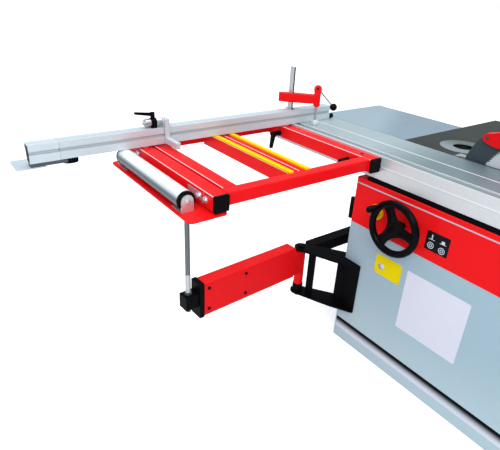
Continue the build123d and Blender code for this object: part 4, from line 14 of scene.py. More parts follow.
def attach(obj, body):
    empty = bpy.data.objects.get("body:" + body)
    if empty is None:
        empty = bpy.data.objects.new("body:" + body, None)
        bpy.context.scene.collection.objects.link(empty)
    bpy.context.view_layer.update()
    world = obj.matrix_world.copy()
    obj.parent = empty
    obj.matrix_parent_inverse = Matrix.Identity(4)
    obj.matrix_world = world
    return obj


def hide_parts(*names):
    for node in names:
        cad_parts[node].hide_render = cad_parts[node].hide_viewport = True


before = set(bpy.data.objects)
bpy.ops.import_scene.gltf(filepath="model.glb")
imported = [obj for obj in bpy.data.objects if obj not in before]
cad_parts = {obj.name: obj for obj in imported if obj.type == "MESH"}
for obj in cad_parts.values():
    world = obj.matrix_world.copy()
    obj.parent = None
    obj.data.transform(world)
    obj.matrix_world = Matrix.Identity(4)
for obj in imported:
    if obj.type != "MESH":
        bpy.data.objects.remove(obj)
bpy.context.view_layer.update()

LOG = logging.getLogger("moulder")

Colour = tuple[float, float, float]
Point = tuple[float, float, float]
Pair = tuple[float, float]
Window = tuple[float, float, float, float]  # low and high across, then low and high upwards
Mesh = bpy.types.Mesh
Node = bpy.types.Node
Socket = bpy.types.NodeSocket
Sockets = Mapping[str, Socket]
Value = Socket | float | tuple[float, ...]
Inputs = Mapping[int | str, Value]

UP = (0.0, 0.0, 1.0)
DOWN = (0.0, 0.0, -1.0)
OUT = (-1.0, 0.0, 0.0)
LEFT_FACE = -0.310


class Direction(Enum):
    """Direction of a machined or drawn grain: how far noise is stretched along X, Y and Z."""

    ALONG_X = (0.04, 1.0, 1.0)
    ALONG_Y = (1.0, 0.04, 1.0)
    ALONG_Z = (1.0, 1.0, 0.04)
    ROUND = (1.0, 1.0, 1.0)


class Side(Enum):
    """Side that a flat plate lies on: the directions of its width and of its height."""

    LEFT = ((0.0, -1.0, 0.0), UP)
    NEAR = ((1.0, 0.0, 0.0), UP)
    TOP = ((1.0, 0.0, 0.0), (0.0, 1.0, 0.0))


class Kind(Enum):
    """Kinds of a node group's sockets."""

    VALUE = "NodeSocketFloat"
    TINT = "NodeSocketColor"
    VECTOR = "NodeSocketVector"


class NodeSheet:
    """Small helper that places and links nodes in one node tree."""

    def __init__(self, tree: bpy.types.NodeTree) -> None:
        """Keeps the tree that nodes are added to."""
        self.tree = tree

    def feed(self, target: Socket, value: Value) -> None:
        """Links a socket to a node's input, or sets the input's own value.

        Args:
            target: the input.
            value: a socket, a number, a vector, or a colour of three shares.
        """
        if isinstance(value, bpy.types.NodeSocket):
            self.tree.links.new(value, target)
        elif target.type == "RGBA":
            target.default_value = (*value, 1.0)
        else:
            target.default_value = value

    def add(self, kind: str, inputs: Inputs | None = None, **values: object) -> Node:
        """Adds a node, sets its properties and feeds its inputs.

        Args:
            kind: Blender's node type name.
            inputs: what each input gets, by the input's name or number.
            values: properties of the node by name.

        Returns:
            The new node.
        """
        node = self.tree.nodes.new(kind)
        for name, value in values.items():
            setattr(node, name, value)
        for key, value in (inputs or {}).items():
            self.feed(node.inputs[key], value)
        return node

    def math(self, operation: str, first: Value, second: Value, clamp: bool = False) -> Socket:
        """Gives the result of a Math node on two numbers, kept from 0 to 1 if clamped."""
        node = self.add("ShaderNodeMath", {0: first, 1: second}, operation=operation, use_clamp=clamp)
        return node.outputs[0]

    def vectors(self, operation: str, inputs: Inputs) -> Sockets:
        """Gives the outputs of a Vector Math node."""
        return self.add("ShaderNodeVectorMath", inputs, operation=operation).outputs

    def weighed(self, first: Socket, second: Socket, share: float) -> Socket:
        """Adds two values by weight: the first's share of the whole, and the rest of the second."""
        rest = self.math("MULTIPLY", second, 1.0 - share)
        return self.math("ADD", self.math("MULTIPLY", first, share), rest)

    def swung(self, value: Socket, amount: Value, base: Value, clamp: bool = False) -> Socket:
        """Swings a base by a value: the base plus the amount times the value less one half."""
        swing = self.math("MULTIPLY", self.math("SUBTRACT", value, 0.5), amount)
        return self.math("ADD", swing, base, clamp)

    def ramp(self, value: Socket, low: Value, high: Value) -> Socket:
        """Maps a value smoothly from low..high to 0..1."""
        inputs = {"Value": value, "From Min": low, "From Max": high}
        return self.add("ShaderNodeMapRange", inputs, interpolation_type="SMOOTHSTEP").outputs["Result"]

    def mix(self, share: Socket, first: Value, second: Value) -> Socket:
        """Mixes in a share of a second colour; the Mix node's colours are inputs 6 and 7 and output 2."""
        inputs = {"Factor": share, 6: first, 7: second}
        return self.add("ShaderNodeMix", inputs, data_type="RGBA").outputs[2]

    def noise(self, place: Socket, scale: Value, detail: float) -> Socket:
        """Reads noise of a scale and a number of finer layers at a place."""
        inputs = {"Vector": place, "Scale": scale, "Detail": detail}
        return self.add("ShaderNodeTexNoise", inputs).outputs["Fac"]

    def dot(self, first: Socket, second: Socket) -> Socket:
        """Gives the dot product of two vectors."""
        return self.vectors("DOT_PRODUCT", {0: first, 1: second})["Value"]

    def scaled(self, colour: Socket, factor: Socket) -> Socket:
        """Gives a colour multiplied by a number."""
        return self.vectors("SCALE", {0: colour, "Scale": factor})[0]

    def part(self, vector: Socket, letter: str) -> Socket:
        """Gives a vector's X, Y or Z."""
        return self.add("ShaderNodeSeparateXYZ", {0: vector}).outputs[letter]

    def position(self) -> Socket:
        """Gives the Object coordinates."""
        return self.add("ShaderNodeTexCoord").outputs["Object"]

    def normal(self) -> Socket:
        """Gives the surface's own normal."""
        return self.add("ShaderNodeNewGeometry").outputs["Normal"]

    def seen(self) -> Socket:
        """Gives 1 where the camera looks straight at a thing, and 0 in reflections and shadows."""
        return self.add("ShaderNodeLightPath").outputs["Is Camera Ray"]


class GroupSheet(NodeSheet):
    """Node sheet of an effect's group, with the sockets that it is given and those that it gives."""

    def __init__(self, tree: bpy.types.NodeTree) -> None:
        """Adds the group's own input and output nodes.

        Args:
            tree: the group's node tree.
        """
        super().__init__(tree)
        self.given: Sockets = self.add("NodeGroupInput").outputs
        self.gives: Sockets = self.add("NodeGroupOutput").inputs

    def give(self, **values: Socket) -> None:
        """Links values to the group's outputs of the same names."""
        for name, value in values.items():
            self.feed(self.gives[name], value)


class MaterialSheet(NodeSheet):
    """Node sheet of a material, with the inputs of its shader."""

    def __init__(self, material: bpy.types.Material) -> None:
        """Keeps the material's tree and its shader's inputs."""
        super().__init__(material.node_tree)
        self.shader: Sockets = material.node_tree.nodes["Principled BSDF"].inputs

    def shade(self, name: str, value: Value) -> None:
        """Feeds one of the shader's inputs."""
        self.feed(self.shader[name], value)

    def bump(self, height: Socket, depth: float, normal: Socket) -> None:
        """Adds a bump on a normal to the shader; the depth lies between heights 0 and 1, in metres."""
        node = self.add("ShaderNodeBump", {"Distance": depth, "Height": height, "Normal": normal})
        self.shade("Normal", node.outputs["Normal"])


class Effect:
    """A shared surface effect: a shader node group with named inputs and outputs."""

    name: str
    inputs: tuple[tuple[str, Kind, object], ...]
    outputs: tuple[tuple[str, Kind], ...]

    def group(self) -> bpy.types.NodeTree:
        """Gives the effect's node group, built once.

        Returns:
            The group's node tree.
        """
        found = bpy.data.node_groups.get(self.name)
        if found is not None:
            return found
        tree = bpy.data.node_groups.new(self.name, "ShaderNodeTree")
        for name, kind, value in self.inputs:
            socket = tree.interface.new_socket(name=name, in_out="INPUT", socket_type=kind.value)
            socket.default_value = value
        for name, kind in self.outputs:
            tree.interface.new_socket(name=name, in_out="OUTPUT", socket_type=kind.value)
        self.wire(GroupSheet(tree))
        return tree

    def wire(self, sheet: GroupSheet) -> None:
        """Fills the group; each effect has its own wiring."""
        raise NotImplementedError

    def place(self, sheet: NodeSheet, **values: Value) -> Sockets:
        """Places the effect in a material with values for the group's inputs, and gives its outputs."""
        return sheet.add("ShaderNodeGroup", values, node_tree=self.group()).outputs


MID_GREY = (0.5, 0.5, 0.5, 1.0)
DARK_GREY = (0.3, 0.3, 0.3, 1.0)


class Mottle(Effect):
    """Uneven tone: broad and fine noise lighten and darken a colour by a small share."""

    name = "uneven_tone"
    inputs = (("Colour", Kind.TINT, MID_GREY), ("Scale", Kind.VALUE, 4.0), ("Amount", Kind.VALUE, 0.15))
    outputs = (("Colour", Kind.TINT), ("Tone", Kind.VALUE))
    finer = 14.0
    broad_share = 0.7
    details = (3.0, 5.0)

    def wire(self, sheet: GroupSheet) -> None:
        """Multiplies the colour by one plus the amount times two layers of centred noise.

        Args:
            sheet: the group's node sheet.
        """
        place, scale = sheet.position(), sheet.given["Scale"]
        few, many = self.details
        broad = sheet.noise(place, scale, few)
        fine = sheet.noise(place, sheet.math("MULTIPLY", scale, self.finer), many)
        tone = sheet.weighed(broad, fine, self.broad_share)
        factor = sheet.swung(tone, sheet.given["Amount"], 1.0)
        sheet.give(Colour=sheet.scaled(sheet.given["Colour"], factor), Tone=tone)


class Grain(Effect):
    """Drawn or milled grain: noise stretched along one direction, for roughness and height."""

    name = "drawn_grain"
    inputs = (("Stretch", Kind.VECTOR, Direction.ALONG_Y.value), ("Scale", Kind.VALUE, 900.0),
              ("Roughness", Kind.VALUE, 0.4), ("Spread", Kind.VALUE, 0.3))
    outputs = (("Roughness", Kind.VALUE), ("Height", Kind.VALUE), ("Bands", Kind.VALUE))
    broader = 0.12
    line_share = 0.75
    detail = 4.0

    def wire(self, sheet: GroupSheet) -> None:
        """Stretches Object coordinates by the direction's shares and reads two noises there.

        Args:
            sheet: the group's node sheet.
        """
        given = sheet.given
        place = sheet.vectors("MULTIPLY", {0: sheet.position(), 1: given["Stretch"]})[0]
        lines = sheet.noise(place, given["Scale"], self.detail)
        bands = sheet.noise(place, sheet.math("MULTIPLY", given["Scale"], self.broader), self.detail)
        height = sheet.weighed(lines, bands, self.line_share)
        rough = sheet.swung(height, given["Spread"], given["Roughness"], clamp=True)
        sheet.give(Roughness=rough, Height=height, Bands=bands)


class SecondTone(Effect):
    """Second tone by how far one of the surface's vectors reaches along a direction."""

    inputs = (("Colour", Kind.TINT, MID_GREY), ("Other", Kind.TINT, DARK_GREY),
              ("Direction", Kind.VECTOR, UP), ("From", Kind.VALUE, 0.0), ("To", Kind.VALUE, 1.0))
    outputs = (("Colour", Kind.TINT),)

    def vector(self, sheet: GroupSheet) -> Socket:
        """Gives the vector that is measured; each kind of tone has its own."""
        raise NotImplementedError

    def wire(self, sheet: GroupSheet) -> None:
        """Mixes in the other colour by the vector's reach along the direction, ramped.

        Args:
            sheet: the group's node sheet.
        """
        given = sheet.given
        share = sheet.ramp(sheet.dot(self.vector(sheet), given["Direction"]), given["From"], given["To"])
        sheet.give(Colour=sheet.mix(share, given["Colour"], given["Other"]))

    def over(self, sheet: NodeSheet, colour: Value, other: Value, way: Point, span: Pair) -> Socket:
        """Lays the tone over a colour.

        Args:
            sheet: the material's node sheet.
            colour: the colour before the span, or its socket.
            other: the colour after the span, or its socket.
            way: direction that the reach is measured along.
            span: reaches where the change starts and ends.

        Returns:
            The mixed colour's socket.
        """
        low, high = span
        placed = self.place(sheet, Colour=colour, Other=other, Direction=way, From=low, To=high)
        return placed["Colour"]


class PaintedFacing(SecondTone):
    """Painted light and shade: a second tone on faces that look one way, such as the upper faces of an
    extrusion.
    """

    name = "painted_facing_tone"

    def vector(self, sheet: GroupSheet) -> Socket:
        """Measures the normal."""
        return sheet.normal()


class Along(SecondTone):
    """Second tone along a direction of the piece, such as a foot of another material or a slow fade."""

    name = "fading_tone"

    def vector(self, sheet: GroupSheet) -> Socket:
        """Measures the Object position."""
        return sheet.position()


class EdgeRubAndSheen(Effect):
    """Rubbed edges, and a painted highlight along edges: where the rounded normal turns away from the flat
    one, broken up by noise unless the sheen input keeps the line whole.
    """

    name = "rubbed_and_sheen_edges"
    inputs = (("Radius", Kind.VALUE, 0.0015), ("Amount", Kind.VALUE, 0.5), ("Even", Kind.VALUE, 0.0))
    outputs = (("Mask", Kind.VALUE), ("Normal", Kind.VECTOR))
    turned = (0.02, 0.22)
    patches = (0.42, 0.68)
    scale = 45.0
    detail = 6.0

    def wire(self, sheet: GroupSheet) -> None:
        """Mask is one minus the two normals' dot product, ramped and multiplied by noise or by the sheen,
        whichever is larger.

        Args:
            sheet: the group's node sheet.
        """
        rounded = sheet.add("ShaderNodeBevel", {"Radius": sheet.given["Radius"]}, samples=4).outputs["Normal"]
        away = sheet.math("SUBTRACT", 1.0, sheet.dot(rounded, sheet.normal()))
        patch = sheet.ramp(sheet.noise(sheet.position(), self.scale, self.detail), *self.patches)
        # a sheen of one makes the mask whole along every edge: a painted highlight, not wear
        broken = sheet.math("MAXIMUM", patch, sheet.given["Even"])
        worn_and_sheen = sheet.math("MULTIPLY", sheet.ramp(away, *self.turned), broken)
        sheet.give(Mask=sheet.math("MULTIPLY", worn_and_sheen, sheet.given["Amount"]), Normal=rounded)


class Dust(Effect):
    """Fine sawdust on faces that look up: the upward share of the normal times patchy noise."""

    name = "settled_dust"
    inputs = (("Colour", Kind.TINT, MID_GREY), ("Amount", Kind.VALUE, 0.2))
    outputs = (("Colour", Kind.TINT), ("Mask", Kind.VALUE))
    sawdust = (0.72, 0.68, 0.60)
    patches = (0.40, 0.75)
    upward = (0.3, 0.95)
    scale = 9.0
    detail = 7.0

    def wire(self, sheet: GroupSheet) -> None:
        """Mixes the colour towards the dust's by the upward share, the noise and the amount.

        Args:
            sheet: the group's node sheet.
        """
        patch = sheet.ramp(sheet.noise(sheet.position(), self.scale, self.detail), *self.patches)
        up = sheet.ramp(sheet.part(sheet.normal(), "Z"), *self.upward)
        mask = sheet.math("MULTIPLY", sheet.math("MULTIPLY", up, patch), sheet.given["Amount"])
        sheet.give(Colour=sheet.mix(mask, sheet.given["Colour"], self.sawdust), Mask=mask)


class Pebble(Effect):
    """Moulded or cast skin: small cells and noise as a height."""

    name = "pebbled_skin"
    inputs = (("Scale", Kind.VALUE, 300.0),)
    outputs = (("Height", Kind.VALUE),)
    cell_share = 0.5
    detail = 6.0

    def wire(self, sheet: GroupSheet) -> None:
        """Height is a share of the cells' distance plus noise at the same scale.

        Args:
            sheet: the group's node sheet.
        """
        place, scale = sheet.position(), sheet.given["Scale"]
        cells = sheet.add("ShaderNodeTexVoronoi", {"Vector": place, "Scale": scale}).outputs["Distance"]
        share = sheet.math("MULTIPLY", cells, self.cell_share)
        sheet.give(Height=sheet.math("ADD", share, sheet.noise(place, scale, self.detail)))


MOTTLE = Mottle()
GRAIN = Grain()
PAINTED_FACING = PaintedFacing()
ALONG = Along()
EDGE_RUB_AND_SHEEN = EdgeRubAndSheen()
DUST = Dust()
PEBBLE = Pebble()


@dataclass(frozen=True)
class Finish:
    """A finish of the machine: its colour and gloss, and the material that shows it."""

    name: str
    colour: Colour
    roughness: float = 0.4
    metallic: float = 0.0
    specular: float = 0.5
    swing: float = 0.2

    def material(self) -> bpy.types.Material:
        """Gives the finish's material, built once.

        Returns:
            The material.
        """
        found = bpy.data.materials.get(self.name)
        if found is not None:
            return found
        made = bpy.data.materials.new(self.name)
        made.use_nodes = True
        sheet = MaterialSheet(made)
        sheet.shade("Roughness", self.roughness)
        sheet.shade("Metallic", self.metallic)
        sheet.shade("Specular IOR Level", self.specular)
        self.paint(sheet)
        return made

    def paint(self, sheet: MaterialSheet) -> None:
        """Fills the material; each kind of finish has its own."""
        raise NotImplementedError

    def gloss(self, sheet: MaterialSheet, tone: Socket) -> Socket:
        """Gives the finish's roughness, swung by the uneven tone."""
        return sheet.swung(tone, self.swing, self.roughness, clamp=True)


@dataclass(frozen=True)
class Enamel(Finish):
    """Sprayed enamel on steel: slight unevenness, orange peel, rubbed edges and a little dust; with edge
    sheen set, the rubbed edges become a painted highlight along every edge.
    """

    swing: float = 0.16
    rub_and_sheen: float = 0.35
    rub_and_sheen_colour: Colour = (0.30, 0.29, 0.28)
    peel: float = 0.00006
    dust: float = 0.08
    dust_dulls: float = 0.3
    edge: float = 0.0016
    edge_sheen: float = 0.0

    def paint(self, sheet: MaterialSheet) -> None:
        """Tone, dust and rubbed edges or the painted edge highlight make the colour, fine pebbles the peel.

        Args:
            sheet: the material's node sheet.
        """
        tone = MOTTLE.place(sheet, Colour=self.colour, Scale=3.0, Amount=0.14)
        dusted = DUST.place(sheet, Colour=tone["Colour"], Amount=self.dust)
        # edge mask: rubbed edges, and with the sheen set a painted highlight along every edge
        rubbed = EDGE_RUB_AND_SHEEN.place(sheet, Radius=self.edge, Amount=self.rub_and_sheen, Even=self.edge_sheen)
        worn_and_sheen = sheet.mix(rubbed["Mask"], dusted["Colour"], self.rub_and_sheen_colour)
        sheet.shade("Base Color", self.edged(sheet, worn_and_sheen))
        duller = sheet.math("MULTIPLY", dusted["Mask"], self.dust_dulls)
        sheet.shade("Roughness", sheet.math("ADD", self.gloss(sheet, tone["Tone"]), duller, clamp=True))
        sheet.bump(PEBBLE.place(sheet, Scale=420.0)["Height"], self.peel, rubbed["Normal"])

    def edged(self, sheet: MaterialSheet, colour: Socket) -> Socket:
        """Gives the colour as it is; a finish with a last layer adds it here."""
        return colour


@dataclass(frozen=True)
class FadedEnamel(Enamel):
    """Enamel that grows slowly paler along one direction, such as towards the floor."""

    other: Colour = (0.5, 0.5, 0.5)
    way: Point = DOWN
    span: Pair = (-0.40, 0.0)

    def edged(self, sheet: MaterialSheet, colour: Socket) -> Socket:
        """Mixes in the other colour between the two ends of the span."""
        return ALONG.over(sheet, colour, self.other, self.way, self.span)


@dataclass(frozen=True)
class HighlitTubeEnamel(Enamel):
    """Enamel on rounded tubes, with a painted highlight: a pale line along the edge that looks up and to one
    side.
    """

    # colour of the painted highlight line along the rounded edge
    line: Colour = (1.0, 0.6, 0.6)
    way: Point = (-0.707, 0.0, 0.707)
    highlight_span: Pair = (0.93, 0.99)

    def edged(self, sheet: MaterialSheet, colour: Socket) -> Socket:
        """Mixes in the painted highlight where the rounded edge looks that way."""
        return PAINTED_FACING.over(sheet, colour, self.line, self.way, self.highlight_span)


@dataclass(frozen=True)
class DrawnMetal(Finish):
    """Bare metal with a drawn, milled or ground grain along one direction."""

    grain: Direction = Direction.ALONG_Y
    scale: float = 700.0
    spread: float = 0.22
    depth: float = 0.00003
    tone: float = 0.12
    dust: float = 0.0
    edge: float = 0.0008
    brush: float = 0.0
    gleam: float = 1.25

    def tint(self, sheet: MaterialSheet) -> Value:
        """Gives the metal's colour, or the socket that carries it."""
        return self.colour

    def paint(self, sheet: MaterialSheet) -> None:
        """Grain gives roughness and height, broad bands and tone the colour.

        Args:
            sheet: the material's node sheet.
        """
        tone = MOTTLE.place(sheet, Colour=self.tint(sheet), Scale=2.2, Amount=self.tone)
        lines = GRAIN.place(sheet, Stretch=self.grain.value, Scale=self.scale, Roughness=self.roughness,
                            Spread=self.spread)
        brushed = sheet.scaled(tone["Colour"], sheet.swung(lines["Bands"], self.brush, 1.0))
        dusted = DUST.place(sheet, Colour=brushed, Amount=self.dust)
        rubbed = EDGE_RUB_AND_SHEEN.place(sheet, Radius=self.edge, Amount=0.35)
        bright = tuple(min(1.0, self.gleam * share) for share in self.colour)
        sheet.shade("Base Color", sheet.mix(rubbed["Mask"], dusted["Colour"], bright))
        sheet.shade("Roughness", lines["Roughness"])
        sheet.bump(lines["Height"], self.depth, rubbed["Normal"])


@dataclass(frozen=True)
class Toned(DrawnMetal):
    """Drawn metal with painted light and shade: a second tone on the faces that look one way, which may fade
    into a third.
    """

    other: Colour = (0.3, 0.3, 0.3)
    way: Point = UP
    share: Pair = (0.5, 0.95)
    far: Colour | None = None
    fade: Pair = (0.0, 1.0)
    course: Point = (0.0, 1.0, 0.0)
    foot: Colour | None = None
    level: float = 0.0
    sharp: float = 0.0001

    def tint(self, sheet: MaterialSheet) -> Value:
        """Mixes the painted light and shade tones by facing and by the distance along the fade's course, and
        the foot's tone by height.

        Args:
            sheet: the material's node sheet.

        Returns:
            The mixed colour's socket.
        """
        other: Value = self.other
        if self.far is not None:
            other = ALONG.over(sheet, other, self.far, self.course, self.fade)
        toned = PAINTED_FACING.over(sheet, self.colour, other, self.way, self.share)
        if self.foot is not None:
            line = (-self.level - self.sharp, -self.level + self.sharp)
            toned = ALONG.over(sheet, toned, self.foot, DOWN, line)
        return toned


@dataclass(frozen=True)
class Moulded(Finish):
    """Moulded plastic, rubber or paint with a fine pebbled skin."""

    skin: float = 380.0
    depth: float = 0.00008
    tone: float = 0.2
    paler: Pair = (1.5, 0.008)

    def paint(self, sheet: MaterialSheet) -> None:
        """Pebbles give the skin, tone a slight unevenness in colour and gloss.

        Args:
            sheet: the material's node sheet.
        """
        tone = MOTTLE.place(sheet, Colour=self.colour, Scale=12.0, Amount=self.tone)
        rubbed = EDGE_RUB_AND_SHEEN.place(sheet, Radius=0.0012, Amount=0.25)
        times, more = self.paler
        pale = tuple(min(1.0, times * share + more) for share in self.colour)
        sheet.shade("Base Color", sheet.mix(rubbed["Mask"], tone["Colour"], pale))
        sheet.shade("Roughness", self.gloss(sheet, tone["Tone"]))
        sheet.bump(PEBBLE.place(sheet, Scale=self.skin)["Height"], self.depth, rubbed["Normal"])


@dataclass(frozen=True)
class Foil(Moulded):
    """Plain foil with a very fine, shallow skin."""

    roughness: float = 0.35
    specular: float = 0.2
    skin: float = 700.0
    depth: float = 0.00001
    tone: float = 0.05


@dataclass(frozen=True)
class Faded(Finish):
    """Foil whose colour fades upwards from one colour to another."""

    swing: float = 0.1
    upper: Colour = (0.003, 0.003, 0.0035)
    heights: Pair = (0.0585, 0.0945)

    def paint(self, sheet: MaterialSheet) -> None:
        """Object height between the two heights mixes the lower colour into the upper one.

        Args:
            sheet: the material's node sheet.
        """
        share = sheet.ramp(sheet.part(sheet.position(), "Z"), *self.heights)
        faded = sheet.mix(share, self.colour, self.upper)
        tone = MOTTLE.place(sheet, Colour=faded, Scale=5.0, Amount=0.08)
        sheet.shade("Base Color", tone["Colour"])
        sheet.shade("Roughness", self.gloss(sheet, tone["Tone"]))


JET = (0.003, 0.003, 0.0035)
# red enamel: the pale pink, unbroken edge line is a painted highlight along every edge, not wear
RED = Enamel("red_enamel", (0.80, 0.007, 0.009), roughness=0.30, specular=0.08, rub_and_sheen=0.3,
             rub_and_sheen_colour=(0.9, 0.16, 0.14), dust=0.01, edge=0.0022, edge_sheen=1.0)
# frame tubes: red enamel with a painted pale highlight along their upper left edges
RED_TUBE = HighlitTubeEnamel("red_tube_painted_highlight_enamel", (0.78, 0.007, 0.009), roughness=0.30, specular=0.08, rub_and_sheen=0.0,
                      dust=0.01)
GREY = FadedEnamel("blue_grey_enamel", (0.335, 0.455, 0.515), roughness=0.42, specular=0.15, rub_and_sheen=0.2,
                   rub_and_sheen_colour=(0.5, 0.54, 0.56), dust=0.03, other=(0.46, 0.58, 0.62))
BLACK = Enamel("black_enamel", JET, roughness=0.36, specular=0.03, rub_and_sheen=0.2, rub_and_sheen_colour=(0.02, 0.02, 0.022),
               dust=0.0)
MOTOR = Enamel("motor_enamel", (0.16, 0.19, 0.22), roughness=0.5)
# far wing: painted paler towards its far left, a painted reflection across the sheet
WING = FadedEnamel("wing_enamel", (0.21, 0.28, 0.33), roughness=0.22, rub_and_sheen=0.2, rub_and_sheen_colour=(0.4, 0.44, 0.47),
                   dust=0.02, other=(0.30, 0.385, 0.435), way=(-0.5, 0.866, 0.0), span=(0.53, 0.67))
GROUND = DrawnMetal("ground_iron", (0.030, 0.036, 0.030), roughness=0.36, specular=0.10, metallic=0.4,
                    scale=320.0, dust=0.01, brush=0.3)
CASTING = DrawnMetal("rough_casting", (0.18, 0.19, 0.20), roughness=0.6, metallic=0.4, grain=Direction.ROUND,
                     scale=220.0, depth=0.0003)
# sliding table: top faces painted dark blue-grey, growing paler towards the far end, a painted reflection of
# a darker room
SLIDE = Toned("table_aluminium", (0.68, 0.69, 0.685), roughness=0.42, metallic=0.5, grain=Direction.ALONG_X,
              brush=0.12, other=(0.200, 0.258, 0.275), far=(0.44, 0.51, 0.52), fade=(0.27, 0.62))
INSERT = DrawnMetal("insert_aluminium", (0.40, 0.44, 0.42), metallic=0.6)
# fence: upper faces painted slightly bluer, a painted reflection
FENCE = Toned("fence_aluminium", (0.60, 0.65, 0.67), roughness=0.45, metallic=0.35, grain=Direction.ALONG_X,
              other=(0.58, 0.65, 0.68))
# extension: upper faces painted bluer and paler, a painted reflection; darker below height 0.8606
EXTENSION = Toned("extension_aluminium", (0.61, 0.67, 0.69), roughness=0.45, metallic=0.35,
                  grain=Direction.ALONG_X, other=(0.62, 0.69, 0.72), foot=(0.07, 0.085, 0.09), level=0.8606)
SHOE = DrawnMetal("shoe_steel", (0.60, 0.67, 0.70), metallic=0.4, grain=Direction.ALONG_X)
# spindle rings: a painted highlight at low X fading into painted shade towards +X
RINGS = Toned("ring_steel", (0.40, 0.47, 0.48), roughness=0.36, metallic=0.8, grain=Direction.ROUND,
              scale=300.0, other=(0.40, 0.47, 0.48), far=(0.20, 0.245, 0.235), fade=(0.03, 0.15),
              course=(1.0, 0.0, 0.0))
STEEL = DrawnMetal("turned_steel", (0.56, 0.57, 0.58), roughness=0.32, metallic=1.0, grain=Direction.ROUND,
                   scale=500.0)
ZINC = DrawnMetal("zinc_plating", (0.66, 0.67, 0.69), roughness=0.34, metallic=0.8, grain=Direction.ROUND,
                  scale=300.0)
DARK_STEEL = DrawnMetal("lever_steel", (0.22, 0.22, 0.225), roughness=0.34, metallic=0.8,
                        grain=Direction.ALONG_Z)
DRAWN = DrawnMetal("drawn_rod_steel", (0.15, 0.175, 0.165), roughness=0.34, metallic=0.8,
                   grain=Direction.ALONG_Z)
# clamp column: faces that look towards -Y painted near black, painted shade
COLUMN = Toned("column_steel", (0.66, 0.67, 0.68), roughness=0.34, metallic=0.7, grain=Direction.ALONG_Z,
               other=(0.02, 0.02, 0.022), way=(0.0, -1.0, 0.0))
# plunger: upward faces painted paler, painted light; the foot below 0.88 m is white
PLUNGER = Toned("plunger_steel", (0.42, 0.42, 0.43), roughness=0.3, metallic=0.6, grain=Direction.ALONG_Z,
                other=(0.60, 0.60, 0.61), foot=(0.80, 0.81, 0.82), level=0.8800)
KNIFE = DrawnMetal("knife_steel", (0.064, 0.086, 0.105), metallic=0.5, grain=Direction.ALONG_Z)
# support roller: faces that look down and to the left painted dark, a painted reflection band on the chrome
BRIGHT = Toned("chromed_tube", (0.90, 0.92, 0.93), roughness=0.18, metallic=0.35, spread=0.08, depth=0.00001,
               tone=0.05, other=(0.08, 0.11, 0.115), way=(-0.819, 0.0, -0.574), share=(0.24, 0.74))
BLADE = DrawnMetal("blade_steel", (0.74, 0.76, 0.76), roughness=0.35, metallic=0.3, grain=Direction.ROUND,
                   scale=260.0)
GROOVE = DrawnMetal("groove_shade", (0.24, 0.27, 0.28), roughness=0.5, metallic=0.4)
# mid-grey for the bands in the fence slots: painted slot shade
SLOT_SHADE_BAND = DrawnMetal("slot_shade", (0.44, 0.48, 0.50), roughness=0.5, metallic=0.3, grain=Direction.ALONG_X)
# bright aluminium for the slot cover and the painted highlight lines on the sliding table
EDGE = DrawnMetal("cut_aluminium_and_highlight", (0.78, 0.80, 0.80), metallic=0.2, tone=0.05)
PLASTIC = Moulded("moulded_black", JET, roughness=0.36, specular=0.04, skin=300.0, depth=0.000015)
GLOSSY = Moulded("glossy_black", JET, roughness=0.14, specular=0.045, skin=90.0, depth=0.00001)
YELLOW = Moulded("glide_yellow", (0.80, 0.53, 0.001), roughness=0.5, specular=0.03, skin=500.0, depth=0.00001)
SIGNAL = Moulded("signal_red", (0.62, 0.012, 0.012), roughness=0.3, skin=500.0, depth=0.00002)
BELT = Moulded("belt_rubber", (0.015, 0.015, 0.015), roughness=0.7, skin=240.0)
WHITE_FOIL = Foil("white_foil", (0.66, 0.67, 0.74))
STRIPE_FOIL = Foil("stripe_foil", (0.46, 0.46, 0.53))
BLACK_FOIL = Foil("black_foil", (0.008, 0.008, 0.009), specular=0.05, tone=0.2)
YELLOW_FOIL = Foil("yellow_foil", (0.78, 0.63, 0.002), roughness=0.45, specular=0.03, tone=0.06)
BASE_FOIL = Faded("base_foil", (0.66, 0.69, 0.76), specular=0.03)
FLOOR = Moulded("floor_paint", (0.92, 0.92, 0.92), roughness=0.8, specular=0.1, skin=40.0, depth=0.0002,
                tone=0.02)


@dataclass(frozen=True)
class Head:
    """A low turned head: a wall, a rounded edge, a slightly raised crown and a sunk foot."""

    radius: float
    wall: float
    crown: float
    corner: float = 0.0
    sink: float = 0.0

    def profile(self) -> list[Point]:
        """Gives its radii, heights and corner roundings."""
        return [(0.0, -self.sink, 0.0), (self.radius, -self.sink, 0.0), (self.radius, self.wall, self.corner),
                (0.0, self.crown, 0.0)]


@dataclass(frozen=True)
class Drum:
    """A turned drum with half its length to each side of its middle and both edges rounded."""

    radius: float
    half: float
    corner: float

    def profile(self) -> list[Point]:
        """Gives its radii, heights and corner roundings."""
        return [(0.0, -self.half, 0.0), (self.radius, -self.half, self.corner),
                (self.radius, self.half, self.corner), (0.0, self.half, 0.0)]


@dataclass(frozen=True)
class Stock:
    """What a plate is cut from: corner radius, thickness and bevel, and the points on each corner."""

    corner: float
    thick: float
    bevel: float
    points: int = 8


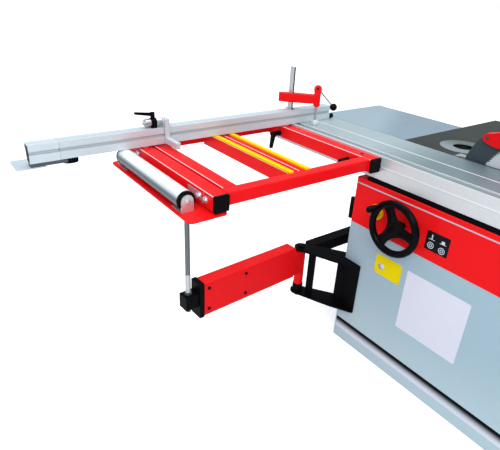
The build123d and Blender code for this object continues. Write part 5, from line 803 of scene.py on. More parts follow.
class Surface:
    """Meshes from whole arrays of points on a grid of two parameters."""

    merge = 1e-7
    flat_edge = 1e-8
    least_corner = 1e-5
    upright = 0.9

    @classmethod
    def mesh(cls, name: str, points: np.ndarray, wrap_u: bool = False, wrap_v: bool = False,
             smooth: bool = True) -> Mesh:
        """Makes a quad mesh of a grid of points, closing it where it wraps and merging poles.

        Args:
            name: the mesh's name.
            points: array of shape (u, v, 3), in metres.
            wrap_u: whether the last row joins the first.
            wrap_v: whether the last column joins the first.
            smooth: whether faces are shaded smooth.

        Returns:
            The mesh with outward normals.
        """
        rows, columns = points.shape[:2]
        u = np.arange(rows if wrap_u else rows - 1)
        v = np.arange(columns if wrap_v else columns - 1)
        a, b = np.meshgrid(u, v, indexing="ij")
        a2, b2 = (a + 1) % rows, (b + 1) % columns
        quads = np.stack([a * columns + b, a2 * columns + b, a2 * columns + b2, a * columns + b2], -1)
        mesh = bpy.data.meshes.new(name)
        mesh.from_pydata(points.reshape(-1, 3).tolist(), [], quads.reshape(-1, 4).tolist())
        work = bmesh.new()
        work.from_mesh(mesh)
        bmesh.ops.remove_doubles(work, verts=work.verts, dist=cls.merge)
        bmesh.ops.dissolve_degenerate(work, edges=work.edges, dist=cls.flat_edge)
        bmesh.ops.recalc_face_normals(work, faces=work.faces)
        work.to_mesh(mesh)
        work.free()
        mesh.polygons.foreach_set("use_smooth", np.full(len(mesh.polygons), smooth))
        mesh.update()
        return mesh

    @staticmethod
    def round_trip(count: int) -> np.ndarray:
        """Gives angles evenly spaced once round, without the last."""
        return np.linspace(0.0, 2.0 * np.pi, count, endpoint=False)

    @staticmethod
    def rounded(profile: Sequence[Point], steps: int) -> np.ndarray:
        """Rounds the corners of a profile with quadratic arcs.

        Args:
            profile: triples of radius, height and corner rounding, in metres.
            steps: points on each rounded corner.

        Returns:
            Radii and heights, of shape (n, 2).
        """
        table = np.array(profile, float)
        points = table[:, :2]
        found = [points[:1]]
        t = np.linspace(0.0, 1.0, steps)[:, None]
        for before, here, after, radius in zip(points[:-2], points[1:-1], points[2:], table[1:-1, 2]):
            if radius == 0.0:
                found.append(here[None])
                continue
            back, on = before - here, after - here
            start = here + back * min(radius / np.linalg.norm(back), 0.5)
            end = here + on * min(radius / np.linalg.norm(on), 0.5)
            found.append((1 - t) ** 2 * start + 2 * t * (1 - t) * here + t ** 2 * end)
        found.append(points[-1:])
        return np.concatenate(found)

    @classmethod
    def turned(cls, name: str, profile: Sequence[Point], origin: Sequence[float], axis: Sequence[float],
               segments: int, steps: int = 6, closed: bool = False, smooth: bool = True) -> Mesh:
        """Turns a profile round an axis: point = origin + h * axis + r * (cos t * side + sin t * other).

        Args:
            name: the mesh's name.
            profile: triples of radius, height along the axis and corner rounding, in metres.
            origin: foot of the axis.
            axis: the axis' direction.
            segments: steps round the axis.
            steps: points on each rounded corner.
            closed: whether the profile's end joins its start.
            smooth: whether faces are shaded smooth.

        Returns:
            The turned mesh.
        """
        along = np.array(axis, float) / np.linalg.norm(axis)
        side = np.cross(along, UP if abs(along[2]) < cls.upright else (1.0, 0.0, 0.0))
        side /= np.linalg.norm(side)
        other = np.cross(along, side)
        turn = cls.round_trip(segments)[:, None, None]
        radius, height = cls.rounded(profile, steps).T[:, None, :, None]
        ring = np.cos(turn) * side + np.sin(turn) * other
        points = np.array(origin, float) + height * along + radius * ring
        return cls.mesh(name, points, wrap_u=True, wrap_v=closed, smooth=smooth)

    @staticmethod
    def capped(rings: np.ndarray) -> np.ndarray:
        """Closes a row of rings by adding a ring shrunk to the centre at each end.

        Args:
            rings: points of shape (rings, points round, 3).

        Returns:
            The rings with one more at each end.
        """
        first = np.broadcast_to(rings[:1].mean(1, keepdims=True), rings[:1].shape)
        last = np.broadcast_to(rings[-1:].mean(1, keepdims=True), rings[-1:].shape)
        return np.concatenate([first, rings, last])

    @classmethod
    def plate(cls, name: str, side: Side, window: Window, level: float, stock: Stock) -> Mesh:
        """Plate with rounded corners and a bevelled rim: the outline shrunk and raised ring by ring.

        Args:
            name: the mesh's name.
            side: side of the machine that it lies on.
            window: its limits across and then its limits upwards.
            level: place of its back face, square to the side.
            stock: its corners, thickness and bevel.

        Returns:
            The plate's mesh.
        """
        right, top = (np.array(way, float) for way in side.value)
        out = np.cross(right, top)
        low, high, foot, head = window
        centre = (low + high) / 2.0 * np.abs(right) + (foot + head) / 2.0 * top + level * np.abs(out)
        quarter = np.linspace(0.0, np.pi / 2.0, stock.points)
        angles = (quarter[None] + np.arange(4)[:, None] * np.pi / 2.0).ravel()
        circle = np.stack([np.cos(angles), np.sin(angles)], -1)
        signs = np.repeat(np.array([(1, 1), (-1, 1), (-1, -1), (1, -1)], float), stock.points, axis=0)
        bevel, thick = stock.bevel, stock.thick
        rings = ((0, 0.0, 0.0), (1, 0.0, 0.0), (1, 0.0, thick - bevel), (1, bevel, thick), (0, bevel, thick))
        layers = []
        for spread, inset, height in rings:
            radius = max(stock.corner - inset, cls.least_corner)
            half = np.array((high - low, head - foot)) / 2.0 - inset - radius
            flat = spread * (signs * half + radius * circle)
            layers.append(centre + flat[:, :1] * right + flat[:, 1:] * top + height * out)
        return cls.mesh(name, np.stack(layers), wrap_v=True, smooth=False)

    @staticmethod
    def joined(name: str, meshes: Iterable[Mesh]) -> Mesh:
        """Joins meshes into one mesh of separate shells.

        Args:
            name: the new mesh's name.
            meshes: the meshes to join; they are removed.

        Returns:
            The joined mesh.
        """
        work = bmesh.new()
        for mesh in meshes:
            work.from_mesh(mesh)
            bpy.data.meshes.remove(mesh)
        whole = bpy.data.meshes.new(name)
        work.to_mesh(whole)
        work.free()
        return whole


@dataclass
class Assembly:
    """A sub-assembly: the finishes of its CAD nodes and the pieces that it adds."""

    finishes: dict[str, Finish] = field(default_factory=dict)

    def dress(self) -> None:
        """Gives each CAD node of the sub-assembly its finish."""
        for node, finish in self.finishes.items():
            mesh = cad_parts[node].data
            mesh.materials.clear()
            mesh.materials.append(finish.material())
            LOG.info("%s is finished in %s", node, finish.name)

    def piece(self, mesh: Mesh, finish: Finish, body: str, slot: str, *replaced: str) -> None:
        """Adds a piece that rides on a body.

        Args:
            mesh: its mesh, in place.
            finish: its finish.
            body: the body that it rides on.
            slot: the record's material slot of its finish; not used.
            replaced: CAD nodes that it stands for.
        """
        made = bpy.data.objects.new(mesh.name, mesh)
        bpy.context.scene.collection.objects.link(made)
        mesh.materials.clear()
        mesh.materials.append(finish.material())
        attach(made, body)
        if replaced:
            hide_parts(*replaced)
        LOG.info("%s rides on %s", made.name, body)

    def build(self) -> None:
        """Adds the sub-assembly's own pieces."""


@dataclass
class Cabinet(Assembly):
    """Cabinet, cowl and door, with the bare plates on the left face."""

    foil: float = 0.0004
    length: float = 1.090
    end_gap: float = 0.009
    cowl_stripe: Pair = (0.7345, 0.7395)
    base_strip: Pair = (0.0505, 0.1035)
    stripe_corner: float = 0.001
    white_plate: Window = (-0.005, 0.247, 0.241, 0.494)
    white_corner: float = 0.004
    yellow_plate: Window = (0.271, 0.391, 0.413, 0.497)
    sign_plate: Window = (0.120, 0.208, 0.608, 0.679)
    small_corner: float = 0.003
    dials: tuple[Pair, ...] = ((0.186, 0.628), (0.143, 0.625))
    dial_radii: Pair = (0.011, 0.005)
    line: float = 0.0012
    print_rise: float = 0.0003
    bars: tuple[Window, ...] = ((0.174, 0.198, 0.649, 0.651), (0.131, 0.155, 0.649, 0.651),
                                (0.184, 0.188, 0.651, 0.669), (0.137, 0.149, 0.651, 0.661))
    bar_corner: float = 0.0009
    disc_place: Pair = (0.360, 0.450)
    disc: Head = Head(0.014, wall=0.0004, crown=0.0005)
    rivet: Head = Head(0.0032, wall=0.0012, crown=0.0018, corner=0.001)
    rivet_inset: float = 0.007
    knuckle: Point = (-0.300, 0.556, 0.6065)
    sleeve: Pair = (0.0060, 0.0093)
    sleeve_length: float = 0.0280
    sleeve_corner: float = 0.0005

    def face_plate(self, name: str, window: Window, corner: float, lift: float = 0.0) -> Mesh:
        """Makes a thin plate on the left face.

        Args:
            name: the plate's name.
            window: its near and far ends and its lower and upper edges.
            corner: corner radius.
            lift: how far its back stands off the face.

        Returns:
            The plate's mesh.
        """
        stock = Stock(corner, self.foil, self.foil / 3.0)
        return Surface.plate(name, Side.LEFT, window, LEFT_FACE - lift, stock)

    def on_foil(self, place: Pair) -> Point:
        """Gives the point on a plate's front at a place along Y and Z."""
        return (LEFT_FACE - self.foil, *place)

    def build(self) -> None:
        """Adds the stripe, base strip, plates, signs, rivets and hinge sleeve."""
        half = self.length / 2.0 - self.end_gap
        plates = (
            ("cowl_stripe", (-half, half, *self.cowl_stripe), self.stripe_corner, STRIPE_FOIL, "grey_paint"),
            ("base_strip", (-half, half, *self.base_strip), self.stripe_corner, BASE_FOIL, "black_paint"),
            ("white_plate", self.white_plate, self.white_corner, WHITE_FOIL, "grey_paint"),
            ("yellow_plate", self.yellow_plate, self.small_corner, YELLOW_FOIL, "yellow_plastic"),
            ("sign_plate", self.sign_plate, self.small_corner, BLACK_FOIL, "black_plastic"),
        )
        for name, window, corner, finish, slot in plates:
            self.piece(self.face_plate(name, window, corner), finish, "base", slot)
        self.signs()
        self.rivets()
        bore, radius = self.sleeve
        wall = [(bore, 0.0, 0.0), (radius, 0.0, self.sleeve_corner),
                (radius, self.sleeve_length, self.sleeve_corner), (bore, self.sleeve_length, 0.0)]
        self.piece(Surface.turned("hinge_sleeve", wall, self.knuckle, UP, 32), BLACK, "door", "black_paint")

    def signs(self) -> None:
        """Adds plain rings and bars to the sign plate and a pale disc to the yellow plate."""
        marks = []
        for place in self.dials:
            for radius in self.dial_radii:
                inner, outer = radius - self.line, radius + self.line
                band = [(inner, 0.0, 0.0), (inner, self.print_rise, 0.0), (outer, self.print_rise, 0.0),
                        (outer, 0.0, 0.0)]
                marks.append(Surface.turned("ring", band, self.on_foil(place), OUT, 40, closed=True,
                                            smooth=False))
        marks += [self.face_plate("bar", window, self.bar_corner, self.foil) for window in self.bars]
        self.piece(Surface.joined("sign_marks", marks), WHITE_FOIL, "base", "grey_paint")
        disc = Surface.turned("pale_disc", self.disc.profile(), self.on_foil(self.disc_place), OUT, 40)
        self.piece(disc, WHITE_FOIL, "base", "grey_paint")

    def rivets(self) -> None:
        """Adds the domed rivets at the yellow plate's corners."""
        near, far, low, high = self.yellow_plate
        inset = self.rivet_inset
        heads = [Surface.turned("head", self.rivet.profile(), self.on_foil((y, z)), OUT, 16)
                 for y in (near + inset, far - inset) for z in (low + inset, high - inset)]
        self.piece(Surface.joined("plate_rivets", heads), STEEL, "base", "steel")


@dataclass(frozen=True)
class Seat:
    """Where a handwheel sits: its axis on the cabinet's face and the direction of angle zero."""

    face: Point
    out: Point
    across: Point

    def ring(self, angles: np.ndarray) -> np.ndarray:
        """Gives unit directions square to the axis at angles in radians, of shape (n, 3)."""
        up = np.cross(self.out, self.across)
        return np.cos(angles)[:, None] * np.array(self.across) + np.sin(angles)[:, None] * up

    def spoke(self, degrees: float) -> np.ndarray:
        """Gives the unit direction at one angle."""
        return self.ring(np.radians([degrees]))[0]


@dataclass
class Handwheels(Assembly):
    """The two handwheels, remade as smooth swept rims with dished spokes, and the turning grip."""

    side_seat: Seat = Seat((LEFT_FACE, 0.306, 0.650), OUT, (0.0, 1.0, 0.0))
    near_seat: Seat = Seat((0.060, -0.545, 0.640), (0.0, -1.0, 0.0), (1.0, 0.0, 0.0))
    rim: float = 0.092
    thick: float = 0.013
    stand: float = 0.055
    shaft: float = 0.011
    shaft_depth: float = 0.060
    shaft_edge: float = 0.001
    hub: float = 0.024
    hub_edge: float = 0.004
    hub_back: Pair = (0.018, 0.020)
    hub_front: Pair = (0.002, 0.003)
    spokes: int = 3
    first: float = -64.0
    root: float = 0.006
    waist: float = 0.055
    waist_half: float = 0.0184
    widening: float = 7.6
    spoke_half: float = 0.0065
    spoke_powers: Pair = (0.7, 0.8)
    dish: float = 0.010
    dish_rise: float = 0.007
    pin: float = -45.0
    pin_radii: Pair = (0.008, 0.005)
    pin_edge: float = 0.001
    pin_cone: float = 0.004
    pin_length: float = 0.040
    grip_gap: float = 0.0005
    grip_shape: tuple[Point, ...] = ((0.0, 0.0, 0.0), (0.0085, 0.0, 0.0015), (0.0095, 0.010, 0.006),
                                     (0.0128, 0.034, 0.016), (0.0115, 0.056, 0.008), (0.0075, 0.0615, 0.004),
                                     (0.0, 0.0618, 0.0))

    def pin_foot(self, seat: Seat) -> np.ndarray:
        """Gives the point on the cabinet's face behind the pin."""
        return np.array(seat.face) + self.rim * seat.spoke(self.pin)

    def spoke(self, seat: Seat, degrees: float) -> Mesh:
        """Makes a spoke: a flat oval carried outwards, as wide as the waist plus a square of the way from it.

        Args:
            seat: where the wheel sits.
            degrees: the spoke's angle.

        Returns:
            The spoke's mesh.
        """
        axis, ahead = np.array(seat.out), seat.spoke(degrees)
        side = np.cross(axis, ahead)
        share = np.linspace(0.0, 1.0, 24)
        reach = self.root + (self.rim - self.root) * share
        level = self.stand - self.dish + self.dish_rise * np.sin(np.pi * share / 2.0)
        wide = self.waist_half + self.widening * (reach - self.waist) ** 2
        spin = Surface.round_trip(24)
        waves = zip((np.cos(spin), np.sin(spin)), self.spoke_powers)
        flank, face = (np.sign(wave) * np.abs(wave) ** power for wave, power in waves)
        path = np.array(seat.face) + reach[:, None] * ahead + level[:, None] * axis
        oval = wide[:, None, None] * flank[:, None] * side + self.spoke_half * face[:, None] * axis
        return Surface.mesh("spoke", Surface.capped(path[:, None] + oval), wrap_v=True)

    def wheel(self, name: str, seat: Seat) -> Mesh:
        """Makes a wheel: a torus rim, a turned hub with its shaft, dished spokes and the grip's pin.

        Args:
            name: the mesh's name.
            seat: where the wheel sits.

        Returns:
            The joined mesh.
        """
        face, axis = np.array(seat.face), np.array(seat.out)
        spin = Surface.round_trip(24)
        level = (self.stand + self.thick * np.sin(spin))[None, :, None]
        radius = (self.rim + self.thick * np.cos(spin))[None, :, None]
        rim = face + level * axis + radius * seat.ring(Surface.round_trip(72))[:, None]
        shells = [Surface.mesh("rim", rim, wrap_u=True, wrap_v=True)]
        back, shoulder = self.hub_back
        front, crown = self.hub_front
        hub = [(0.0, -self.shaft_depth, 0.0), (self.shaft, -self.shaft_depth, self.shaft_edge),
               (self.shaft, back, self.shaft_edge), (self.hub, shoulder, self.hub_edge),
               (self.hub, self.stand + front, self.hub_edge), (0.0, self.stand + crown, 0.0)]
        shells.append(Surface.turned("hub", hub, face, axis, 48))
        step = 360.0 / self.spokes
        shells += [self.spoke(seat, self.first + step * number) for number in range(self.spokes)]
        boss, pin = self.pin_radii
        top, end = self.stand + self.thick, self.stand + self.pin_length
        stud = [(0.0, self.stand, 0.0), (boss, self.stand + self.pin_cone, 0.0), (boss, top, self.pin_edge),
                (pin, top, 0.0), (pin, end, 0.0), (0.0, end, 0.0)]
        shells.append(Surface.turned("stud", stud, self.pin_foot(seat), axis, 24))
        return Surface.joined(name, shells)

    def grip(self, name: str, seat: Seat) -> Mesh:
        """Makes a waisted grip on a wheel's pin.

        Args:
            name: the mesh's name.
            seat: where the wheel sits.

        Returns:
            The grip's mesh.
        """
        start = self.stand + self.thick + self.grip_gap
        shape = [(radius, start + height, corner) for radius, height, corner in self.grip_shape]
        return Surface.turned(name, shape, self.pin_foot(seat), seat.out, 40, steps=8)

    def build(self) -> None:
        """Adds both wheels and grips in place of their CAD nodes."""
        self.piece(self.wheel("spindle_wheel_rim", self.side_seat), GLOSSY, "spindle_wheel", "black_plastic",
                   "spindle_handwheel")
        self.piece(self.grip("spindle_wheel_knob", self.side_seat), GLOSSY, "wheel_grip", "black_plastic",
                   "spindle_wheel_grip")
        shells = [self.wheel("near_wheel", self.near_seat), self.grip("near_grip", self.near_seat)]
        whole = Surface.joined("saw_wheel_rim", shells)
        self.piece(whole, GLOSSY, "saw_wheel", "black_plastic", "saw_handwheel")


@dataclass
class Tables(Assembly):
    """Tables and sliding table, with painted highlight lines along the sliding table's top, and its slot
    cover.
    """

    ends: Pair = (-0.899, 1.099)
    top: float = 0.860
    foil: float = 0.0002
    foil_corner: float = 0.0004
    bright: tuple[Pair, ...] = ((-0.2972, -0.2925), (-0.2562, -0.2525))
    score: Pair = (-0.1625, -0.1575)
    groove: Pair = (-0.2818, -0.2572)
    groove_floor: float = 0.856
    joint: Window = (-0.0398, -0.0335, -0.118, 0.333)
    cover: Window = (-0.895, 0.455, 0.8181, 0.8259)
    cover_face: float = -0.2945
    cover_stock: Stock = Stock(corner=0.001, thick=0.003, bevel=0.0006, points=4)

    def band(self, name: str, window: Window, level: float) -> Mesh:
        """Makes a thin flat band on a table.

        Args:
            name: the band's name.
            window: its limits along X and then along Y.
            level: height of its underside.

        Returns:
            The band's mesh.
        """
        stock = Stock(self.foil_corner, self.foil, self.foil / 3.0, points=3)
        return Surface.plate(name, Side.TOP, window, level, stock)

    def build(self) -> None:
        """Adds the painted highlight lines along the edges and on the score line's floor, the painted shade
        in the groove and along the insert's gap, and the cover.
        """
        flush = self.top - self.foil / 2.0
        # bright bands along the top's edges and score line: painted highlights
        lines = [self.band("line", (*sides, *self.ends), flush) for sides in self.bright]
        lines.append(self.band("line", (*self.score, *self.ends), self.top - 2.0 * self.foil))
        self.piece(Surface.joined("table_lines", lines), EDGE, "slider", "aluminium")
        # dark band on the groove's floor: painted shade
        groove = self.band("groove_shade_band", (*self.groove, *self.ends), self.groove_floor - self.foil / 2.0)
        self.piece(groove, GROOVE, "slider", "aluminium")
        # black band along the insert's gap to the sliding table: painted shade of the gap
        self.piece(self.band("insert_gap_shade", self.joint, flush), BLACK, "base", "black_paint")
        cover = Surface.plate("slot_cover", Side.LEFT, self.cover, self.cover_face, self.cover_stock)
        self.piece(cover, EDGE, "slider", "aluminium")


@dataclass
class Outrigger(Assembly):
    """Outrigger frame, roller and levers, with the roller's end caps, bracket bolts and a tube plug."""

    axis: Pair = (-1.062, 0.8315)
    ends: Pair = (0.523, 0.974)
    faces: Pair = (0.516, 0.981)
    radius: float = 0.029
    cap_bore: float = 0.0095
    cap_proud: float = 0.0004
    cap_out: float = 0.0010
    cap_in: float = 0.0070
    cap_edges: Pair = (0.001, 0.0004)
    cap_lip: Pair = (0.001, 0.0002)
    bolt_shape: tuple[Point, ...] = ((0.0, -0.0005, 0.0), (0.0085, -0.0005, 0.0), (0.0085, 0.0035, 0.001),
                                     (0.0045, 0.0045, 0.001), (0.0, 0.0050, 0.0))
    plug_place: Point = (-0.324, 0.528, 0.854)
    plug: Head = Head(0.0072, wall=0.0009, crown=0.0014, corner=0.0006, sink=0.0004)

    def build(self) -> None:
        """Adds the black end caps, the bolts at the roller's axis and the plug."""
        x, z = self.axis
        outer = self.radius + self.cap_proud
        rim, mouth = self.cap_edges
        under, past = self.cap_lip
        cap = [(self.cap_bore, self.cap_proud, 0.0), (self.cap_bore, -self.cap_out, 0.0),
               (outer, -self.cap_out, rim), (outer, self.cap_in, mouth),
               (self.radius - under, self.cap_in + past, 0.0)]
        caps = []
        bolts = []
        for end, face, inward in zip(self.ends, self.faces, (1.0, -1.0)):
            caps.append(Surface.turned("cap", cap, (x, end, z), (0.0, inward, 0.0), 64, closed=True))
            bolts.append(Surface.turned("bolt", self.bolt_shape, (x, face, z), (0.0, -inward, 0.0), 24))
        self.piece(Surface.joined("roller_rings", caps), PLASTIC, "roller", "black_plastic")
        self.piece(Surface.joined("roller_bolts", bolts), ZINC, "slider", "steel")
        plug = Surface.turned("tube_plug", self.plug.profile(), self.plug_place, UP, 28)
        self.piece(plug, PLASTIC, "slider", "black_plastic")


@dataclass
class SwingArm(Assembly):
    """Bracket with a cover, arm with screw heads, inner beam, and rod with a thread."""

    pivot: Pair = (-0.408, 0.705)
    heading: float = 183.0
    half: float = 0.026
    screws: tuple[Pair, ...] = ((0.325, 0.306), (0.325, 0.397), (0.498, 0.306), (0.498, 0.397))
    screw_shape: tuple[Point, ...] = ((0.0, -0.0003, 0.0), (0.0066, -0.0003, 0.0), (0.0066, 0.0034, 0.0012),
                                      (0.0034, 0.0036, 0.0), (0.0030, 0.0032, 0.0), (0.0, 0.0032, 0.0))
    rod: Pair = (-0.9792, 0.6751)
    rod_radius: float = 0.009
    thread: Pair = (0.388, 0.470)
    pitch: float = 0.0025
    pitch_steps: int = 6
    root: float = 0.0002
    crest: float = 0.0006
    cover: Window = (0.455, 0.487, 0.166, 0.399)
    cover_stock: Stock = Stock(corner=0.003, thick=0.0062, bevel=0.001)

    def build(self) -> None:
        """Adds the thread, the screw heads and the cover between the bracket's flanges."""
        self.rod_thread()
        self.screw_heads()
        cover = Surface.plate("bracket_face", Side.LEFT, self.cover, LEFT_FACE, self.cover_stock)
        self.piece(cover, BLACK, "base", "black_paint")

    def rod_thread(self) -> None:
        """Adds the thread above the block: radius swings with the turn less the height over the pitch."""
        low, high = self.thread
        turn = Surface.round_trip(24)[None]
        height = np.linspace(low, high, int((high - low) / self.pitch * self.pitch_steps))[:, None]
        swell = 0.5 + 0.5 * np.cos(turn - 2.0 * np.pi * height / self.pitch)
        radius = self.rod_radius + self.root + self.crest * swell
        x, y = self.rod
        points = np.stack([x + radius * np.cos(turn), y + radius * np.sin(turn),
                           np.broadcast_to(height, radius.shape)], -1)
        ends = np.broadcast_to(np.array([[(x, y, low)], [(x, y, high)]]), (2, *points.shape[1:]))
        rings = np.concatenate([ends[:1], points, ends[1:]])
        self.piece(Surface.mesh("rod_thread", rings, wrap_v=True), ZINC, "inner", "steel")

    def screw_heads(self) -> None:
        """Adds the screw heads on the arm's near side."""
        turned = math.radians(self.heading)
        ahead = np.array((math.cos(turned), math.sin(turned), 0.0))
        side = np.array((-math.sin(turned), math.cos(turned), 0.0))
        heads = []
        for reach, height in self.screws:
            spot = np.array((*self.pivot, height)) + reach * ahead + self.half * side
            heads.append(Surface.turned("head", self.screw_shape, spot, side, 28))
        self.piece(Surface.joined("arm_screws", heads), PLASTIC, "arm", "black_plastic")


@dataclass
class Fence(Assembly):
    """Crosscut fence with its stop and hold-down; the cam's ball, rod, disc and bolt are turned smooth."""

    pin: Point = (-0.215, 0.905, 1.014)
    arm: Pair = (0.079, -0.080)
    slope: float = -45.0
    reach: float = 0.103
    rod: Pair = (0.0030, 0.0045)
    rod_edge: float = 0.001
    collar: Point = (0.020, 0.016, 0.008)  # distances back from the ball's centre
    ball: float = 0.0155
    disc: Drum = Drum(0.019, half=0.004, corner=0.0008)
    throw: float = 0.003
    bolt: Drum = Drum(0.004, half=0.0103, corner=0.0005)
    slot_face: float = 0.9556
    fence_slot: Window = (-1.2815, -0.0815, 0.8877, 0.8983)
    extension_slot: Window = (-1.3755, -1.2830, 0.8877, 0.8983)
    end_face: float = -1.3758
    end: Window = (0.9535, 0.9885, 0.864, 0.917)
    strip: Window = (-1.2826, -1.2610, 0.951, 0.983)
    strip_level: float = 0.8486
    slot_shade_stock: Stock = Stock(corner=0.0005, thick=0.0008, bevel=0.0003, points=3)
    end_stock: Stock = Stock(corner=0.004, thick=0.0008, bevel=0.0003, points=4)
    strip_stock: Stock = Stock(corner=0.0005, thick=0.0118, bevel=0.0003, points=3)

    def build(self) -> None:
        """Adds the cam's turned pieces, the painted shade bands in the slots, the end cap and the strip under
        the end.
        """
        self.cam()
        for name, body, window in (("fence_slot", "slider", self.fence_slot),
                                   ("extension_slot", "extension", self.extension_slot)):
            # grey bands recessed in the fence's and extension's slots: painted shade of the slots
            shade_band = Surface.plate(name, Side.NEAR, window, self.slot_face, self.slot_shade_stock)
            self.piece(shade_band, SLOT_SHADE_BAND, body, "aluminium")
        end = Surface.plate("extension_end", Side.LEFT, self.end, self.end_face, self.end_stock)
        self.piece(end, PLASTIC, "extension", "black_plastic")
        strip = Surface.plate("extension_strip", Side.TOP, self.strip, self.strip_level, self.strip_stock)
        self.piece(strip, EXTENSION, "extension", "aluminium")

    def cam(self) -> None:
        """Adds the cam's bolt, disc, rod and ball; the rod stands for the CAD lever."""
        slope = math.radians(self.slope)
        level = np.array(self.arm) / math.hypot(*self.arm)
        along = np.array((*(math.cos(slope) * level), math.sin(slope)))
        across = (level[1], -level[0], 0.0)
        pin = np.array(self.pin)
        bolt = Surface.turned("cam_bolt", self.bolt.profile(), pin, across, 24)
        self.piece(bolt, BLACK, "cam", "black_paint")
        centre = pin - self.throw * np.array(UP)
        disc = Surface.turned("cam_disc", self.disc.profile(), centre, across, 64)
        self.piece(disc, ZINC, "cam", "steel")
        thin, thick = self.rod
        start, shoulder, end = (self.reach - back for back in self.collar)
        rod = [(0.0, 0.0, 0.0), (thin, 0.0, 0.0), (thin, start, 0.0), (thick, shoulder, self.rod_edge),
               (thick, end, 0.0), (0.0, self.reach, 0.0)]
        self.piece(Surface.turned("cam_rod", rod, pin, along, 20), DARK_STEEL, "cam", "steel", "cam_lever")
        theta = np.linspace(0.0, np.pi, 25)
        half_circle = self.ball * np.stack([np.sin(theta), -np.cos(theta), np.zeros_like(theta)], -1)
        ball = Surface.turned("cam_ball", half_circle, pin + self.reach * along, along, 40)
        self.piece(ball, GLOSSY, "cam", "black_plastic")


@dataclass
class SawUnit(Assembly):
    """Saw unit under the table, with the riving knife's inner crest that runs close to the blade."""

    arbor: Point = (-0.025, 0.066, 0.808)
    inner: float = 0.1605
    half: float = 0.0011
    crest: tuple[Pair, ...] = ((-8.0, 0.1675), (36.0, 0.1675), (38.5, 0.205), (46.0, 0.205), (58.0, 0.1620))

    def build(self) -> None:
        """Adds the crest: a flat crescent round the arbor, its outer radius read from the angle."""
        turns, outer = np.array(self.crest).T
        turn = np.unique(np.concatenate([np.linspace(turns[0], turns[-1], 60), turns]))
        across = np.array((-1.0, -1.0, 1.0, 1.0))
        outward = np.array((0.0, 1.0, 1.0, 0.0))
        radius = self.inner + outward * (np.interp(turn, turns, outer) - self.inner)[:, None]
        angle = np.radians(turn)[:, None]
        offset = np.stack([np.broadcast_to(self.half * across, radius.shape), radius * np.cos(angle),
                           radius * np.sin(angle)], -1)
        points = Surface.capped(np.array(self.arbor) + offset)
        self.piece(Surface.mesh("knife_crest", points, wrap_v=True, smooth=False), KNIFE, "lift", "steel")


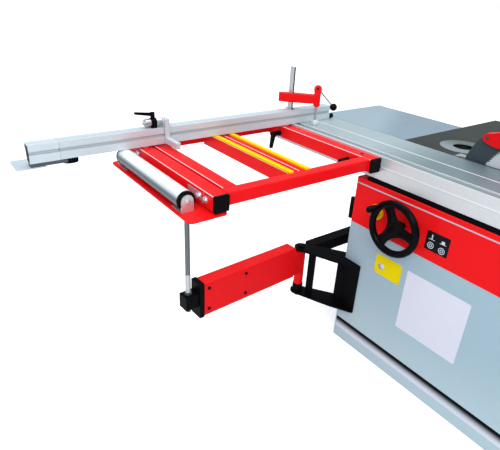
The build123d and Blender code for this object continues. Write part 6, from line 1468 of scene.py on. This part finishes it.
@dataclass
class Studio:
    """Pale floor, soft lights and the camera."""

    place: Point = (-1.651, -0.561, 1.385)
    right: Point = (0.80989, -0.58486, 0.04484)
    down: Point = (-0.23324, -0.39123, -0.89025)
    forward: Point = (0.53822, 0.71054, -0.45327)
    lens: float = 33.70
    sensor: float = 36.0
    view_end: float = 200.0
    floor_radius: float = 60.0
    floor_drop: float = 0.0005
    floor_glow: float = 0.42
    floor_tone: Colour = (0.72, 0.72, 0.72)
    footprint: Pair = (0.310, 0.545)
    horizon: float = 0.38
    zenith: float = 1.55
    sky: Pair = (0.30, 1.0)
    lamps: tuple[tuple[str, Point, Point, float, float], ...] = (
        ("key_light", (-3.2, -2.2, 3.6), (-0.3, 0.2, 0.6), 2.6, 135.0),
        ("top_light", (0.2, 1.2, 4.2), (-0.2, 0.3, 0.7), 3.2, 45.0),
        ("side_light", (2.6, -3.0, 2.2), (0.0, 0.0, 0.5), 2.4, 25.0))
    daylight: Colour = (0.92, 0.985, 1.05)
    white: Colour = (1.0, 1.0, 1.0)

    def floor(self) -> None:
        """Adds the floor: a wide disc with a faint mottle, paler to the eye than in reflections."""
        disc = [(0.0, -self.floor_drop, 0.0), (self.floor_radius, -self.floor_drop, 0.0)]
        mesh = Surface.turned("floor", disc, (0.0, 0.0, 0.0), UP, 64)
        material = FLOOR.material()
        sheet = MaterialSheet(material)
        place = sheet.position()
        gaps = [sheet.math("SUBTRACT", sheet.math("ABSOLUTE", sheet.part(place, letter), 0.0), half)
                for letter, half in zip("XY", self.footprint)]
        outside = sheet.math("GREATER_THAN", sheet.math("MAXIMUM", *gaps), 0.0)
        seen = sheet.math("MULTIPLY", sheet.seen(), outside)
        sheet.shade("Emission Color", self.white)
        sheet.shade("Emission Strength", sheet.math("MULTIPLY", seen, self.floor_glow))
        painted = sheet.shader["Base Color"].links[0].from_socket
        sheet.shade("Base Color", sheet.mix(seen, self.floor_tone, painted))
        mesh.materials.append(material)
        made = bpy.data.objects.new("floor", mesh)
        bpy.context.scene.collection.objects.link(made)

    def lamp(self, name: str, place: Point, aim: Point, size: float, power: float) -> None:
        """Adds a square soft light.

        Args:
            name: its name.
            place: where it hangs.
            aim: the point that it looks at.
            size: its side.
            power: its power in watts.
        """
        data = bpy.data.lights.new(name, "AREA")
        data.shape = "SQUARE"
        data.size = size
        data.energy = power
        data.color = self.daylight
        made = bpy.data.objects.new(name, data)
        look = Vector(aim) - Vector(place)
        made.matrix_world = Matrix.Translation(place) @ look.to_track_quat("-Z", "Y").to_matrix().to_4x4()
        bpy.context.scene.collection.objects.link(made)

    def lights(self) -> None:
        """Adds the soft lights and the surroundings, white to the eye and darker low down in reflections."""
        for row in self.lamps:
            self.lamp(*row)
        world = bpy.data.worlds.new("pale_room")
        world.use_nodes = True
        sheet = NodeSheet(world.node_tree)
        back = world.node_tree.nodes["Background"].inputs
        direction = sheet.add("ShaderNodeTexCoord").outputs["Generated"]
        height = sheet.ramp(sheet.part(direction, "Z"), *self.sky)
        rise = sheet.math("MULTIPLY", height, self.zenith - self.horizon)
        light = sheet.math("ADD", rise, self.horizon)
        seen = sheet.seen()
        sheet.feed(back["Strength"], sheet.math("MAXIMUM", light, seen))
        sheet.feed(back["Color"], sheet.mix(seen, self.daylight, self.white))
        bpy.context.scene.world = world
        bpy.context.scene.view_settings.view_transform = "Standard"

    def camera(self) -> None:
        """Sets the camera where the photograph was taken from."""
        data = bpy.data.cameras.new("camera")
        data.sensor_fit = "HORIZONTAL"
        data.sensor_width = self.sensor
        data.lens = self.lens
        data.clip_end = self.view_end
        made = bpy.data.objects.new("camera", data)
        columns = (Vector(self.right), -Vector(self.down), -Vector(self.forward))
        turn = Matrix(columns).transposed().to_4x4()
        made.matrix_world = Matrix.Translation(self.place) @ turn
        bpy.context.scene.collection.objects.link(made)
        bpy.context.scene.camera = made


def assemblies() -> list[Assembly]:
    """Gives the machine's sub-assemblies, each with the finishes of its CAD nodes.

    Returns:
        The sub-assemblies in the order of building.
    """
    return [
        Cabinet({"cabinet_shell": GREY, "top_cowl": RED, "service_door": RED, "door_hinges": BLACK,
                 "dust_port": BLACK, "cable_gland": PLASTIC, "estop_base": YELLOW, "estop_button": SIGNAL,
                 "main_switch": SIGNAL}),
        Tables({"main_table": GROUND, "saw_insert": INSERT, "spindle_rings": RINGS, "far_wing": WING,
                "slide_beam": BLACK, "sliding_table": SLIDE, "roller_cage": STEEL, "end_caps": PLASTIC}),
        Outrigger({"outrigger_frame": RED_TUBE, "glide_strips": YELLOW, "roller_brackets": ZINC,
                   "support_roller": BRIGHT, "frame_bolts": ZINC, "frame_lever_near": PLASTIC,
                   "frame_lever_far": PLASTIC}),
        Fence({"crosscut_fence": FENCE, "fence_extension": EXTENSION, "extension_shoe": SHOE,
               "extension_knob": PLASTIC, "stop_clamp": BLACK, "stop_shaft": STEEL, "stop_lever": PLASTIC,
               "stop_finger": FENCE, "clamp_column": COLUMN, "hold_down_arm": RED,
               "hold_down_plunger": PLUNGER}),
        SwingArm({"swing_bracket": BLACK, "pivot_pin": BLACK, "swing_arm": RED, "arm_end_frame": BLACK,
                  "inner_beam": BLACK, "support_rod": DRAWN}),
        Handwheels(),
        SawUnit({"saw_cradles": BLACK, "tilt_carriage": CASTING, "saw_lift_slide": CASTING,
                 "saw_motor": MOTOR, "saw_belt": BELT, "riving_knife": KNIFE, "saw_arbor": STEEL,
                 "saw_blade": BLADE, "saw_motor_pulley": CASTING, "saw_guard": RED}),
        Assembly({"quill": CASTING, "spindle": STEEL, "spindle_motor": MOTOR, "spindle_belt": BELT,
                  "spindle_motor_pulley": CASTING}),
    ]


def main() -> None:
    """Dresses every sub-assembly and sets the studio."""
    logging.basicConfig(level=logging.INFO, format="%(message)s")
    for assembly in assemblies():
        assembly.dress()
        assembly.build()
    studio = Studio()
    studio.floor()
    studio.lights()
    studio.camera()


if __name__ == "__main__":
    main()
